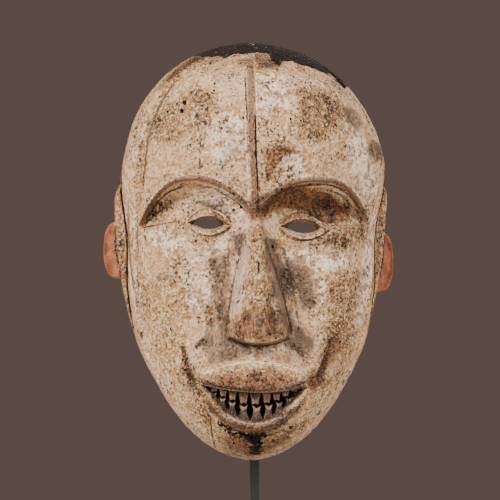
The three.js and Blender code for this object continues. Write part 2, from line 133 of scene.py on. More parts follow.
# Nose: sections of its upper part and of its tip, as shares of its half width and of its rise
NOSE_TOP = 162
NOSE_FOOT = 84.5
NOSE_DROP = 4.8
NOSE_MIDDLE = (0, 1.8)
NOSE_HALF_WIDTH = 20.8
NOSE_SPREAD = 0.6
NOSE_TOP_SHARE = 0.08
NOSE_TOP_DEPTH = 101
NOSE_TIP_DEPTH = 120
NOSE_TUCK = 5
NOSE_TUCK_REACH = 9
NOSE_FOOT_FADE = (-1.7, 1.1)
NOSE_TOP_FADE = (4, -3)
NOSE_UPPER_SECTION = [(0, 1), (0.18, 0.97), (0.5, 0.72), (0.8, 0.36), (0.98, 0.08), (1.08, 0), (9, 0)]
NOSE_TIP_SECTION = [
    (0, 1), (0.17, 0.97), (0.34, 0.84), (0.46, 0.72), (0.54, 0.72), (0.66, 0.78), (0.8, 0.7),
    (0.92, 0.44), (1, 0.08), (1.06, 0), (9, 0),
]
NOSE_TIP_SPAN = (0.5, 0.85)

# Mouth: each edge is a left corner, a right corner, a middle height and a power
LIP_TOP = ((-41, 57), (35.5, 56.5), 67, 1.8)
LIP_SAG = ((-41, 57), (35.5, 56.5), 48, 2)
OPENING_ROOF = ((-35.5, 53.5), (32, 51.5), 48, 2)
OPENING_FLOOR = ((-35.5, 53.5), (32, 51.5), 28.3, 2.1)
OPENING_DEPTH = 14
OPENING_MIDDLE = (-1.5, 43)
# The mouth is cut in rings, each with a rise over the face and a scale of its outline
MOUTH_CUT = [(-OPENING_DEPTH, share) for share in (0.3, 0.6, 0.85, 0.96)]
MOUTH_CUT += [(rise, 0.975 + rise * 0.0012) for rise in (-10, -6, -3, 0, 4, 9)] + [(30, 1.02)]
# The upper lip's rise, from its lower edge (0) to its top (1), and how far its slope runs on above
LIP_RISE = 7
LIP_PROFILE = [
    (-9, 0.5), (-0.1, 0.5), (0.03, 0.72), (0.12, 0.93), (0.32, 1), (0.6, 0.84), (0.9, 0.56), (1, 0.52),
    (9, 0.52),
]
LIP_BLEND = 6
LIP_CREST = 0.5
LIP_CREST_WIDTH = 0.9
LIP_LEAST_HEIGHT = 2.5
LIP_UNDERSIDE = 4
LIP_CORNERS = (-0.05, 0.12, 0.88, 1.05)
# The lower lip's rise outwards from the opening, as shares of its width
LOWER_LIP_RISE = 5.5
LOWER_LIP_WIDTHS = (4.5, 3.6)
LOWER_LIP_TOP = (1, -5)
LOWER_LIP_PROFILE = [
    (-9, 0.86), (0, 0.9), (0.16, 1), (0.42, 0.8), (0.75, 0.36), (1, 0), (1.14, -0.14), (1.35, 0), (9, 0),
]

# Teeth: places across, and their outlines from root (0) to point (1)
UPPER_TEETH = [-27.5, -21.7, -15.6, -8.5, -0.8, 6.7, 13.2, 19.2, 25.2]
LOWER_TEETH = [-27.8, -22, -15.8, -8.4, 0.2, 8.1, 15, 21.2, 26.8]
TOOTH_FILL = 0.97
UPPER_TOOTH = [
    (-1, 0), (1, 0), (0.96, 0.3), (0.78, 0.6), (0.56, 1), (0, 0.93), (-0.56, 1), (-0.78, 0.6),
    (-0.96, 0.3),
]
LOWER_TOOTH = [
    (-1, 0), (1, 0), (0.94, 0.26), (0.66, 0.52), (0.56, 0.72), (0.78, 1), (0, 0.86), (-0.78, 1),
    (-0.56, 0.72), (-0.66, 0.52), (-0.94, 0.26),
]
TOOTH_FRONT = -1.6
TOOTH_MIDDLE = -7
TOOTH_ROOT = 2
TEETH_MEETING = 0.56
TEETH_GAP = 0.2
TEETH_UNEVEN = 0.25

# Grooves inside the edge of the face: a side, insets of the crisp inner edge by level, widths and a cut
LEFT_GROOVE = {
    "side": -1,
    "insets": [
        (30, 3.4), (90, 4.5), (122, 6), (141, 5.7), (164, 7.7), (184, 13.8), (214, 13.5), (236, 12),
        (264, 12.6),
    ],
    "widths": [(40, 1.6), (150, 2), (168, 3), (184, 7), (200, 6.5), (236, 5), (264, 5)],
    "cut": 2.6,
}
RIGHT_GROOVE = {"side": 1, "insets": [(30, 4), (264, 5.5)], "widths": [(40, 1.6), (264, 2.2)], "cut": 1.3}
GROOVE_SPAN = (38, 266)
GROOVE_ENDS = (20, 5)
GROOVE_STEP = (-0.6, 0.3)
GROOVE_FADE = (0.7, 1.1)

# Rough strip and ear at each side: side, height, how tall and how far out
FLANGE_SPAN = (88, 190)
FLANGE_PROUD = 2.5
FLANGE_DEPTHS = (8, 38)
FLANGE_ROOT = 5
FLANGE_TIP = (14, 3.5)
FLANGE_ROWS = 78
EARS = [(-1, 141, 39, 99.6), (1, 133, 41, 97.5)]
EAR_FRONT = 34
EAR_THICKNESS = 14
EAR_ROOT = 78
EAR_FULLNESS = 0.28
EAR_MIDDLE = 7
EAR_STEPS = 44
EAR_WEAR = 0.35

# Hollow back
WALL = 9
FRONT_WALL = 13
EYE_BACKING = 0.7
MOUTH_BACKING = (-1, 40, 46, 32, 15)
HOLLOW_SCALE = (HALF_WIDTH - WALL) / HALF_WIDTH
PAST_BACK = -10

# Rows of the skin crowd where the carving is finest: a level, a reach and how much closer they lie
OUTER_GRID = (400, 300)
HOLLOW_GRID = (96, 90)
CLOSER_ROWS = [(83, 5, 1.6), (46, 26, 0.8), (166, 24, 0.8)]
CLOSER_COLUMNS = (46, 0.7)
HOLLOW_COLUMNS = (60, 0.2)
WALL_SPACING = 0.4
LEVEL_STEPS = 6001
OVER_STEPS = 901
SIDE_STEPS = 59
RIM_INSETS = [2.2, 4.4, 6.6, 8.8, 11]
RIM_SPREAD = 0.02
MOST_TRIANGLES = 190000
# The face begins, and the tool marks begin, at these depths past the side wall and the back
FACE_EDGE = (-1, 4)
MARKED_DEPTHS = (0, 3)
HOLLOW_MARKED_DEPTHS = (-4, 6)
# How far apart the places are that give the slope of a surface
SLOPE_STEP = 0.5

# Lines that are cut and also painted
LEFT_BROW_LINE = [(-46, 183.8), (-57, 179.2), (-66, 171), (-72.5, 160)]
RIGHT_BROW_LINE = [(24, 182.6), (46, 184.2), (57.5, 181.1), (65, 175), (72, 166)]
RIGHT_SECOND_LINE = [(48, 181.3), (59, 176.4), (66.5, 168.5)]
LEFT_CORNER_LINE = [(-75, 155.5), (-62.5, 158), (-51, 160)]
RIGHT_CORNER_LINE = [(50, 157), (61, 157.4), (74, 157.6)]
TEMPLE_LINE = [(44, 261), (60, 251), (73, 236), (81, 220)]

# Incised lines and creases: the form of their section and ends; a route, half width and cut
CUT_SHOULDER = 0.1
CUT_TAPER = 0.12
CUT_LINES = [
    (LEFT_BROW_LINE, 0.9, 1.5),
    (RIGHT_BROW_LINE, 0.8, 1.4),
    (RIGHT_SECOND_LINE, 0.7, 1.1),
    (LEFT_CORNER_LINE, 0.8, 1.0),
    (RIGHT_CORNER_LINE, 0.8, 1.0),
    ([(-1.4, 232), (-1.1, 206), (0.6, 178)], 0.7, 1.4),
    ([(-7.4, 258), (-6.9, 224)], 0.7, 1.0),
    ([(0.7, 133.5), (0.6, 125.5)], 0.8, 1.6),
    ([(-48, 80), (-46.5, 72), (-44.5, 62), (-41.5, 54)], 1.9, 1.8),
    ([(51, 84), (47, 70), (43, 60), (38, 50)], 2.2, 1.9),
    (TEMPLE_LINE, 0.8, 0.9),
]
CHIN_CRACK = [(-30, 30.5), (-29.2, 26), (-28.2, 18.3), (-26.4, 12), (-25.1, 8)]
CRACK_STEPS = 14
CRACK_WIDTH = 0.55
CRACK_LEAST_WIDTH = 0.06
CRACK_JITTER = 0.25
CRACK_RISES = (-4, -1, 6)

# Worm holes: how tall for their width, how deep and how proud they are cut; across, height and radius
HOLE_TALLNESS = 1.25
HOLE_SIDES = 8
HOLE_RISES = (-3.2, 3)
HOLES = [
    (-47, 238, 1.4), (-48.8, 232.4, 1.3), (-58, 232, 0.7), (-27.4, 250.4, 0.8), (-28, 245.6, 0.7),
    (-23.3, 220.7, 0.8), (-9.2, 227.4, 0.8), (-52, 262, 0.8), (-60, 255, 0.7), (21.9, 226.8, 0.8),
    (28.6, 225.8, 0.7), (32.6, 251.3, 0.6), (36.6, 251.4, 0.7), (-9.8, 169.4, 1.0), (-14.5, 167.4, 0.8),
    (11.3, 143.1, 1.0), (40.7, 142.4, 0.8), (-39.4, 147, 0.8), (-32.8, 147, 0.7), (-55.7, 88.8, 0.7),
    (-6.6, 58.7, 0.8), (23.2, 23.6, 0.9), (-10.5, 20.4, 0.7), (-47.9, 68.4, 0.8), (-46.5, 61.8, 0.8),
    (2.5, 14, 1.1), (-3, 17, 0.9), (6.5, 18.5, 0.9), (12, 15, 0.8), (-14, 13, 0.8), (-20, 22, 0.8),
    (52, 92, 0.7), (57, 80, 0.8), (46, 74, 0.7), (33, 178, 0.7), (16, 181, 0.7), (24, 172, 0.7),
    (-62, 171, 0.8), (-67, 164, 0.8), (-58, 168, 0.7),
]

# Zones with many small pits: across, height, reach across, reach up, how many
PIT_ZONES = [
    (-46, 226, 17, 13, 60), (-20, 261, 14, 5, 30), (40, 228, 18, 15, 50), (-64, 166, 9, 7, 40),
    (28, 176, 22, 6, 90), (-36, 147, 10, 3, 16), (55, 92, 10, 19, 80), (-57, 98, 10, 17, 60),
    (0, 17, 26, 7, 130), (-14, 168, 7, 3, 12), (38, 54, 8, 9, 30), (-40, 120, 12, 14, 30),
    (6, 266, 26, 5, 50), (0, 140, 80, 110, 200), (-36, 32, 8, 6, 26), (30, 24, 9, 6, 26),
    (12, 201, 8, 8, 16), (60, 150, 12, 6, 20),
]
PIT_RADIUS = (0.35, 0.7)
PIT_DEPTH = (0.4, 0.9)
PIT_LENGTHENING = 1.5
PIT_CROWDING = 0.7

# Zones of the worn paint: a strength and an outline, across and height
BARE_WOOD = [
    (1.2, [(-63, 249), (-54, 262), (-42, 271), (-26, 275), (-30, 269), (-44, 262), (-56, 252)]),
    (0.78, [
        (-66, 231), (-52, 242), (-39, 247), (-28, 245), (-26, 234), (-40, 222), (-52, 211), (-66, 210),
        (-69, 219),
    ]),
    (1.0, [(-2, 274), (15, 274), (18, 261), (0, 259)]),
    (0.85, [
        (27, 245), (44, 246), (57, 238), (59, 229), (53, 220), (39, 213), (30, 214), (21, 223), (28, 234),
    ]),
    (1.05, [(5, 206), (12, 212), (22, 210), (28, 204), (19, 200), (13, 193), (10, 185), (5, 183), (3, 195)]),
    (0.9, [(-75, 156), (-73, 165), (-67, 170), (-52, 175), (-52, 169), (-58, 164), (-61, 158)]),
    (0.8, [(-42, 150), (-27, 149), (-30, 145), (-40, 145)]),
    (0.8, [(-33, 102), (-27, 108), (-20, 106), (-19, 91), (-30, 90)]),
    (1.15, [
        (-4, 174), (14, 182), (27, 184), (51, 180), (58, 172), (62, 160), (53, 158), (37, 166), (17, 168),
        (-4, 160),
    ]),
    (0.8, [(50, 157), (72, 157), (79, 152), (75, 146), (54, 140), (45, 142)]),
    (1.1, [(33, 170), (62, 174), (66, 160), (48, 157), (36, 163)]),
    (0.8, [(11, 148), (22, 147), (22, 141), (14, 136)]),
    (0.55, [(50, 121), (68, 126), (72, 114), (70, 100), (61, 94), (42, 98)]),
    (0.85, [(42, 70), (47, 87), (58, 97), (67, 96), (63, 77), (52, 64)]),
    (0.95, [(-30, 28), (-18, 21), (0, 16), (18, 21), (34, 32), (22, 10), (0, 0), (-18, 6)]),
    (0.5, [(-46, 44), (-33, 40), (-24, 24), (-40, 22)]),
    (1.1, [(36, 52), (42, 66), (49, 80), (55, 84), (52, 68), (44, 52)]),
    (1.0, [(-47, 80), (-44, 64), (-40, 50), (-44, 50), (-49, 66), (-52, 80)]),
    (0.75, [(-4, 156), (5, 156), (9, 118), (11, 96), (-7, 96), (-6, 120)]),
    (0.7, [(-50, 66), (-38, 62), (-36, 54), (-40, 44), (-48, 52)]),
    (0.8, [(33, 60), (44, 66), (46, 52), (38, 42), (32, 50)]),
    (1.1, [(0, 166), (6, 176), (20, 182), (34, 181), (30, 172), (14, 168), (4, 160)]),
    (0.5, [(14, 149), (32, 146), (50, 150), (50, 160), (32, 168), (14, 164)]),
    (0.35, [(-48, 158), (-31, 148), (-14, 157), (-31, 169)]),
    (0.55, [
        (-34, 270), (-4, 272), (12, 270), (40, 262), (60, 252), (62, 244), (38, 254), (10, 262),
        (-10, 264), (-34, 264),
    ]),
    (1.0, [(-17, 96), (-6, 104), (10, 106), (21, 94), (22, 86), (0, 80), (-19, 84)]),
    (0.95, [(-38, 58), (-20, 63), (0, 64), (18, 63), (33, 58), (20, 50), (0, 47), (-20, 51)]),
    (1.15, [(-39, 57), (-22, 54.5), (0, 53), (20, 54.5), (34, 57), (28, 50), (0, 46), (-26, 49)]),
    (1.25, [
        (-39, 52), (-31, 34), (-16, 22), (0, 18.5), (16, 22), (29, 34), (36, 52), (27, 40), (0, 28.5),
        (-27, 40),
    ]),
    (0.45, [(38, 48), (52, 64), (62, 84), (74, 98), (68, 74), (54, 48), (36, 24), (26, 20)]),
]
OCHRE = [
    (0.9, [(37, 227), (44, 230), (50, 228), (57, 223), (47, 225)]),
    (0.95, [(-76, 118), (-61, 126), (-46, 120), (-41, 91), (-73, 91)]),
    (0.8, [(-72, 91), (-62, 101), (-41, 101), (-46, 80), (-58, 68)]),
    (0.8, [(-63, 249), (-50, 265), (-34, 271), (-38, 262), (-55, 252)]),
    (0.8, [(-9, 62), (8, 63), (10, 55), (-6, 54)]),
    (0.6, [(50, 157), (75, 157), (75, 146), (54, 140)]),
    (0.85, [(-73, 92), (-66, 70), (-48, 40), (-36, 26), (-30, 32), (-46, 56), (-56, 84)]),
    (0.4, [(40, 55), (50, 62), (62, 80), (68, 92), (60, 62), (42, 36)]),
    (0.9, [(24, 248), (46, 249), (60, 238), (60, 220), (38, 210), (22, 216)]),
    (0.9, [(-4, 156), (6, 156), (10, 100), (-6, 98)]),
    (0.8, [(-68, 234), (-40, 248), (-26, 244), (-28, 226), (-56, 208), (-70, 216)]),
    (0.7, [(46, 124), (72, 128), (74, 96), (58, 70), (42, 70), (42, 100)]),
    (0.6, [(-36, 62), (-10, 66), (12, 66), (32, 60), (20, 53), (-20, 53)]),
]
# Grey stains; some zones are painted shade: over the left lid, beside the nose and down its right flank
GREY_STAINS_AND_SHADE = [
    (0.6, [(-39, 263), (-20, 267), (-7, 267), (-8, 257), (-20, 256), (-32, 257)]),
    (0.45, [(-16, 222), (-12, 216), (-15, 198), (-21, 202), (-19, 214)]),
    (1.6, [(59, 236), (66, 234), (72, 225), (68, 220), (61, 227)]),
    (1.5, [(78, 214), (88, 211), (88, 203), (81, 200), (75, 208)]),
    (0.9, [(-1.5, 246), (2, 246), (2, 239), (-1.5, 239)]),
    (0.7, [(1, 271), (14, 272), (13, 259), (1, 259)]),
    # Painted shadow of the brow over the left lid
    (1.2, [(-38, 172.5), (-29, 172), (-18, 165), (-30, 167)]),
    # Painted shade beside the nose, on the left
    (1.25, [(-28, 136), (-19, 138), (-16, 122), (-18, 106), (-24, 99), (-29, 107), (-27, 124)]),
    # Painted shade where the nose meets the left socket
    (1.2, [(-16, 150), (-7, 152), (-6, 140), (-15, 139)]),
    (0.8, [(-61, 128), (-55, 125), (-56, 120), (-62, 123)]),
    (0.6, [(35, 170), (54, 170), (60, 160), (50, 158), (41, 165)]),
    (0.9, [(55, 177), (63, 175), (71, 163), (66, 161), (60, 168)]),
    (0.7, [(16, 150), (25, 147), (34, 145), (47, 148), (54, 153), (50, 143), (29, 142)]),
    (1.0, [(19, 136), (31, 136), (38, 128), (41, 105), (32, 98), (26, 110), (21, 124)]),
    (1.5, [(-32, 92), (-19, 100), (-19, 84), (-7, 79), (-4, 73), (-16, 69), (-31, 66), (-34, 78)]),
    (0.9, [(-41, 81), (-33, 81), (-33, 76), (-41, 76)]),
    (1.4, [(21, 92), (36, 88), (39, 76), (31, 70), (18, 80)]),
    (0.6, [(-10, 78), (4, 74), (20, 76), (22, 72), (6, 70), (-8, 72)]),
    # The right flank of the nose: partly grey stain, partly painted shade
    (1.5, [(5, 150), (13, 148), (24, 112), (26, 88), (15, 94), (8, 124)]),
    (0.5, [(-16, 100), (16, 102), (22, 86), (0, 81), (-18, 85)]),
    (0.5, [
        (-38, 50), (-30, 34), (-14, 24), (0, 21), (16, 24), (30, 36), (35, 50), (26, 40), (0, 28.5),
        (-26, 40),
    ]),
    (0.5, [(-36, 55), (-20, 53), (-8, 50), (-10, 56), (-28, 59)]),
    (0.4, [(36, 66), (44, 58), (40, 44), (34, 46), (36, 56)]),
]
FRESH_CLAY = [
    (0.8, [(-46, 134), (-30, 143), (-8, 154), (-8, 152), (-19, 142), (-39, 131)]),
    (0.9, [(-72, 153), (-58, 155), (-46, 150), (-48, 140), (-58, 137), (-67, 145)]),
    (0.7, [(-46, 178), (-34, 184), (-18, 180), (-7, 168), (-6, 163), (-14, 162), (-24, 170), (-39, 174)]),
    (1.0, [(20, 139), (32, 143), (45, 140), (62, 138), (64, 130), (41, 126), (26, 134), (14, 131)]),
    (0.8, [(46, 182), (54, 180), (64, 173), (58, 173), (50, 178)]),
    (0.7, [(8, 167), (23, 168), (23, 163), (10, 162)]),
    (1.2, [(17, 203), (26, 205), (31, 199), (28, 192), (19, 193)]),
    (1.0, [(23, 185), (31, 192), (35, 191), (32, 187)]),
    (0.7, [(-10, 79), (20, 80), (18, 70), (4, 68), (-10, 71)]),
    (0.8, [(-9, 137), (-5, 137), (-8, 121), (-14, 96), (-19, 92), (-14, 121)]),
    (0.8, [(-83, 172), (-79, 172), (-77, 140), (-79, 136), (-82, 146)]),
    (0.8, [(-80, 123), (-76, 122), (-73, 102), (-77, 100)]),
    (1.1, [(77, 166), (87, 166), (85, 140), (79, 114), (72, 91), (67, 91), (74, 127)]),
    (0.6, [(-24, 235), (-8, 235), (-8, 195), (-28, 192), (-30, 214)]),
    (0.6, [(1, 257), (22, 258), (20, 232), (6, 226), (1, 236)]),
    (1.0, [(60, 226), (76, 212), (84, 180), (76, 172), (64, 192)]),
    (0.5, [(-66, 240), (-76, 222), (-83, 196), (-80, 190), (-72, 214), (-62, 236)]),
    (0.6, [(36, 127), (50, 124), (48, 104), (40, 104)]),
    (0.6, [(-50, 128), (-30, 128), (-27, 108), (-40, 96), (-46, 106)]),
]
BLACKENED = [
    (0.9, [(-6, 20), (6, 20), (5, 4), (-4, 4)]),
    (0.9, [(-24, 29), (-10, 21), (0, 20), (0, 16), (-14, 18), (-27, 27)]),
    (0.4, [(52, 178), (62, 174), (70, 162), (64, 162), (56, 172)]),
]
STREAKED = [(1.0, [(-6, 152), (5, 152), (16, 118), (23, 88), (0, 82), (-19, 88), (-14, 118)])]
GLOSSY = [
    (1.2, [(-12, 104), (-2, 104), (-2, 90), (-11, 88)]),
    (1.2, [(4, 108), (13, 106), (14, 92), (5, 90)]),
    (0.8, [(-16, 106), (12, 108), (20, 88), (0, 80), (-18, 86)]),
    (0.4, [(-5, 150), (5, 150), (19, 104), (-17, 104)]),
    (0.5, [(-36, 60), (0, 66), (32, 60), (24, 51), (0, 47), (-28, 50)]),
    (0.7, [(-32, 44), (-20, 30), (-8, 24), (-12, 30), (-26, 42)]),
]
PINK_CLAY = [
    (0.8, [(-26, 36), (0, 28.5), (24, 35), (22, 31), (0, 24.5), (-23, 31)]),
    (1.0, [(14, 52), (34, 57), (34, 53), (18, 48)]),
    (0.6, [(10, 66), (32, 60), (34, 57), (12, 63)]),
    (0.9, [(-4, 150), (-9, 146), (-15, 120), (-19, 98), (-12, 102), (-8, 120), (-4, 140)]),
    (0.5, [(5, 150), (9, 146), (16, 120), (21, 98), (13, 102), (9, 120), (5, 138)]),
    (0.5, [(4, 24), (18, 27), (27, 35), (30, 30), (18, 20), (4, 18)]),
]
# How softly the zones end, in millimetres
ZONE_SOFTNESS = 4.5
ZONE_OVERLAP = 0.3

# Painted lines: a strength, a half width and a route. Dark lines in cuts, creases and under edges are partly
# dark paint and partly painted shade; pale lines on crests and rims are partly pale paint and partly painted
# highlight.
DARK_LINES_AND_SHADE = [
    # Painted shadow along the cut lines under the brows
    (1.0, 0.9, LEFT_BROW_LINE),
    (1.0, 0.9, RIGHT_BROW_LINE),
    (0.8, 0.8, [(-44, 184), (-30, 182), (-18, 176), (-8, 168), (-4, 163)]),
    (0.9, 0.9, [(3, 170), (10, 176), (18, 180), (26, 182.4)]),
    (0.9, 0.8, RIGHT_SECOND_LINE),
    (0.8, 0.9, LEFT_CORNER_LINE),
    (0.8, 0.9, RIGHT_CORNER_LINE),
    (1.0, 1.0, [(-1.4, 232), (-1.1, 206), (0.6, 178), (1.6, 166)]),
    (0.8, 0.8, [(-7.4, 262), (-6.9, 224)]),
    (0.6, 0.8, [(-1.9, 266), (-1.8, 236)]),
    (1.0, 0.9, [(0.7, 134), (0.6, 125)]),
    (0.7, 0.9, [(-8.6, 151), (-13, 128), (-17.5, 101.5), (-19.6, 85)]),
    (1.0, 1.1, [(4, 151), (12.5, 128), (20.7, 101.5), (24.4, 85)]),
    # Painted shadow under the tip of the nose
    (1.3, 1.8, [(-20, 83), (-10.6, 79.8), (3.8, 79), (15.7, 81.6), (22.6, 86)]),
    (1.2, 2.0, [(-49, 80), (-47, 73), (-45, 65), (-42.5, 57), (-40, 51)]),
    (1.1, 2.0, [(50, 78), (47.5, 70), (44.2, 61.5), (40.5, 54)]),
    (0.8, 1.6, [(-17, 148), (-20, 128), (-23.5, 106), (-25, 92)]),
    (0.8, 1.6, [(17, 146), (22, 128), (27, 106), (28.5, 92)]),
    (0.9, 1.0, [(-24, 28), (-15, 22), (-6, 19.2), (6, 18.6), (18, 21.5)]),
    (0.7, 0.9, [(-83.8, 178), (-82.3, 141), (-80.4, 121), (-76.4, 97)]),
    (0.7, 0.9, [(86, 172), (83.4, 130), (79.5, 108), (75, 91)]),
    (0.6, 0.7, [(-73.6, 196), (-73.6, 184), (-77.5, 164), (-77.4, 141), (-77, 122)]),
    (0.9, 1.1, [
        (-50, 256), (-54.5, 250), (-60.5, 241), (-66.5, 228), (-70.5, 214), (-72.4, 198), (-74.2, 180),
    ]),
    # Lines round the lids: partly dark paint, partly painted shade in their creases
    (1.0, 0.9, [(-46, 159), (-38, 166.4), (-30, 168), (-22, 166), (-15.5, 159)]),
    (1.2, 1.0, [(-42, 158.8), (-36, 162.2), (-31, 163), (-26, 162), (-20.2, 158)]),
    (0.9, 0.8, [(-46, 159), (-39, 151.8), (-30, 149.6), (-21, 151.6), (-15.5, 157)]),
    (1.1, 1.0, [(15.5, 157), (23, 163.6), (32, 165.6), (41, 163), (48.5, 155)]),
    (1.2, 1.0, [(20.2, 156.6), (26, 160.4), (32, 161.2), (38, 160), (44, 155.6)]),
    (1.1, 0.9, [(15.5, 156), (23, 149), (32, 147), (41, 148.6), (48.5, 154.6)]),
    (0.6, 0.9, TEMPLE_LINE),
    # Along the upper lip's lower edge: partly its dark brown, partly painted shade under the edge
    (1.0, 2.4, [(-39, 55.6), (-24, 51.6), (-6, 48.8), (10, 48.6), (26, 51.4), (34, 55)]),
]
# Pale lines on crests and rims: partly pale paint, partly painted highlight
PALE_LINES_AND_HIGHLIGHTS = [
    (0.9, 0.8, [(-5.2, 166), (-5.6, 183), (-7.3, 206), (-7.7, 240), (-7.6, 266)]),
    (0.7, 0.7, [(1.6, 184), (0, 206), (-0.6, 240), (-0.5, 266)]),
    (0.5, 0.8, [(-73, 168), (-66, 178.6), (-55, 187.6), (-42, 191), (-30, 189), (-18, 183), (-6, 172)]),
    (0.5, 0.8, [(6, 181), (20, 187.6), (36, 190), (52, 188.4), (64, 181.6), (73, 171)]),
    (0.8, 0.7, [(-35, 184.5), (-24, 181.4), (-13, 174.6)]),
    (0.8, 0.7, [(-44, 164), (-36, 167.6), (-26, 167), (-16.5, 160)]),
    (0.9, 0.8, [(-46, 158), (-38, 152.6), (-28, 150.9), (-17, 155.6)]),
    (0.8, 0.7, [(16, 158), (24, 163.8), (34, 164.4), (47.5, 157)]),
    (0.9, 0.8, [(15.6, 156), (24, 150), (34, 148), (48, 153.6)]),
    (0.9, 0.8, [(-85, 172), (-83.6, 141), (-81.6, 121), (-77.8, 97)]),
    (0.8, 0.8, [(-39, 58), (-24, 64), (-8, 67.4), (6, 67), (22, 63), (34, 58)]),
    (0.7, 0.8, [(-78.8, 164), (-79, 141), (-78.4, 122)]),
]
# The lower edge of the blackened hair at the top of the head
HAIR_BAND = [
    (-46, 274), (-40, 273), (-34, 272), (-24, 270.7), (-13, 271.8), (-2, 273), (10, 272), (14, 265),
    (22.6, 268), (33, 265), (42, 262), (53, 258.5), (62, 251),
]
# How far the hair runs down and outwards at the back of the crown, and between which depths
HAIR_DROP = 44
HAIR_SPREAD = 24
HAIR_DEPTHS = (36, 4)
# The soft smudge along its edge
HAIR_SMUDGE = 0.9
HAIR_SMUDGE_WIDTH = 1.8
# Where the hair ends at each side: from nothing to full
HAIR_LEFT = (-56, -38)
HAIR_RIGHT = (76, 58)

# Colours as they show in daylight
CLAY = "#dbb78f"
CLAY_DULL = "#b4885e"
CLAY_PINK = "#cba591"
CLAY_BRIGHT = "#f3dcc4"
CLAY_PALE = "#e2c7a0"
CLAY_THIN = "#a57a50"
WOOD_LIGHT = "#8f6542"
WOOD_DARK = "#54351f"
OCHRE_STAIN = "#a57b4a"
GREY_STAIN_AND_SHADE = "#4c3d34"
SMEAR_TAUPE = "#8a7160"
CREST_TAUPE = "#72543f"
BLACK_BROWN = "#0c0503"
RED_BROWN = "#291206"
PIT_BROWN = "#2a1a11"
# Dirt in fine cracks, and painted shade with dirt in creases and along the dark lines
DIRT_AND_SHADE = "#3d291b"
TERRACOTTA = "#ac6d51"
TERRACOTTA_DARK = "#8a513c"
LIP_PINK = "#bb9b90"
TOOTH_BROWN = "#483630"
TOOTH_LIGHT = "#937560"
HOLLOW_WOOD = "#3b2618"
HOLLOW_WORN = "#6a4a30"
STAND_BLACK = "#131313"
STAND_DUSTY = "#23211f"
FLOOR_PALE = "#cfc9c1"
FLOOR_WARM = "#d6d1c9"
BACKDROP = "#5e4e48"

# How the maps are measured: depths, levels and hollowness, in millimetres, and strengths
FRONT_DEPTHS = (28, 46)
SIDE_WALL_DEPTHS = (40, 16)
RIM_DEPTHS = (1.2, 0.2)
HOLLOW_BEGINS = (4, 9)
STAINED_GROOVE = (168, 184)
STRIP_WEAR = 0.72
SIDE_WALL_WEAR = 0.92
GROOVE_STAIN = 1.3
RIM_WOOD = 0.8
# Painted shade in the mouth: it darkens to black between these depths behind the face
MOUTH_SHADE_DEPTHS = (4.5, 8)
SMOOTHING = 0.6
# Creases are darkened, partly dirt and partly painted shade: rounds of smoothing, the hollowness where it
# starts and is full, and a strength
CREASE_DIRT_AND_SHADE = [(3, 0.05, 0.75, 1), (14, 0.25, 2.2, 0.6), (60, 0.5, 3.5, 0.45)]
# Convex edges are lightened, partly rubbed wear and partly painted highlight, between these hollownesses
EDGE_WEAR_AND_HIGHLIGHT = (0.1, 0.7)

# The maps on the mask's mesh, each with the names of its channels
MAPS = {
    "wear_map": ("bare", "ochre", "grey", "pits"),
    "paint_map": ("fresh", "black", "crease", "edge"),
    "line_map": ("dark_line", "pale_line", "crest", "streaked"),
    "place_map": ("terracotta", "hollow", "gloss", "pink"),
    "mouth_map": ("deep_mouth", "in_mouth"),
}

# Noises of each material: size along X, Y and Z in millimetres, detail, roughness and seed
CLAY_NOISES = {
    "grain": ((2.2, 2.2, 24), 5, 0.65, 0),
    "streaks": ((1.3, 1.3, 15), 4, 0.6, 29),
    "clumps": ((3.4, 3.4, 4), 1, 0.5, 3),
    "flakes": ((1.8, 1.8, 2.2), 1, 0.5, 13),
    "mottle": ((7, 7, 9), 2, 0.5, 7),
    "fine": ((1, 1, 1), 1, 0.5, 11),
    "specks": ((1.6, 1.6, 2.1), 0, 0.5, 17),
    "sand": ((1.5, 1.5, 1.8), 1, 0.5, 53),
    "scratches": ((6, 6, 4), 2, 0.6, 37),
    "patch": ((15, 15, 20), 3, 0.55, 41),
    "broad": ((34, 34, 50), 3, 0.5, 23),
}
STEEL_NOISES = {"brushed": ((1.2, 1.2, 14), 4, 0.6, 0), "dust": ((7, 7, 7), 4, 0.6, 5)}
FLOOR_NOISES = {"cloudy": ((60, 60, 60), 3, 0.6, 0)}

# Soft lights: name, place, size, power and tint, and the place that they all face
LIGHTS = [
    ("left_softbox", (-1.2, -1.15, 1.2), (0.4, 0.4), 61, (1, 0.94, 0.88)),
    ("right_softbox", (1.3, -0.9, 1.35), (0.4, 0.4), 36, (1, 0.94, 0.88)),
    ("front_softbox", (0.1, -1.9, 0.5), (0.8, 0.6), 6, (1, 0.95, 0.9)),
    ("back_softbox", (0.5, 1.4, 1.0), (0.9, 0.9), 10, (1, 0.98, 0.96)),
]
LIT_PLACE = (0, -0.02, 0.25)
FLOOR_REACH = 0.9

# Edges of the mask that shade as sharp, in degrees
SHARP_EDGE = 52

# Camera, as far off and as high as for the photograph: the mask is seen turned a little
CAMERA_AZIMUTH = -3.5
CAMERA_DISTANCE = 2.0
CAMERA_TARGET = (-6, -18, 251)
FRAME_WIDTH = 337.5
SENSOR = 36


def mix(start, end, share):
    return start + (end - start) * share


def smooth(low, high, value):
    t = np.clip((value - low) / (high - low), 0, 1)
    return t * t * (3 - 2 * t)


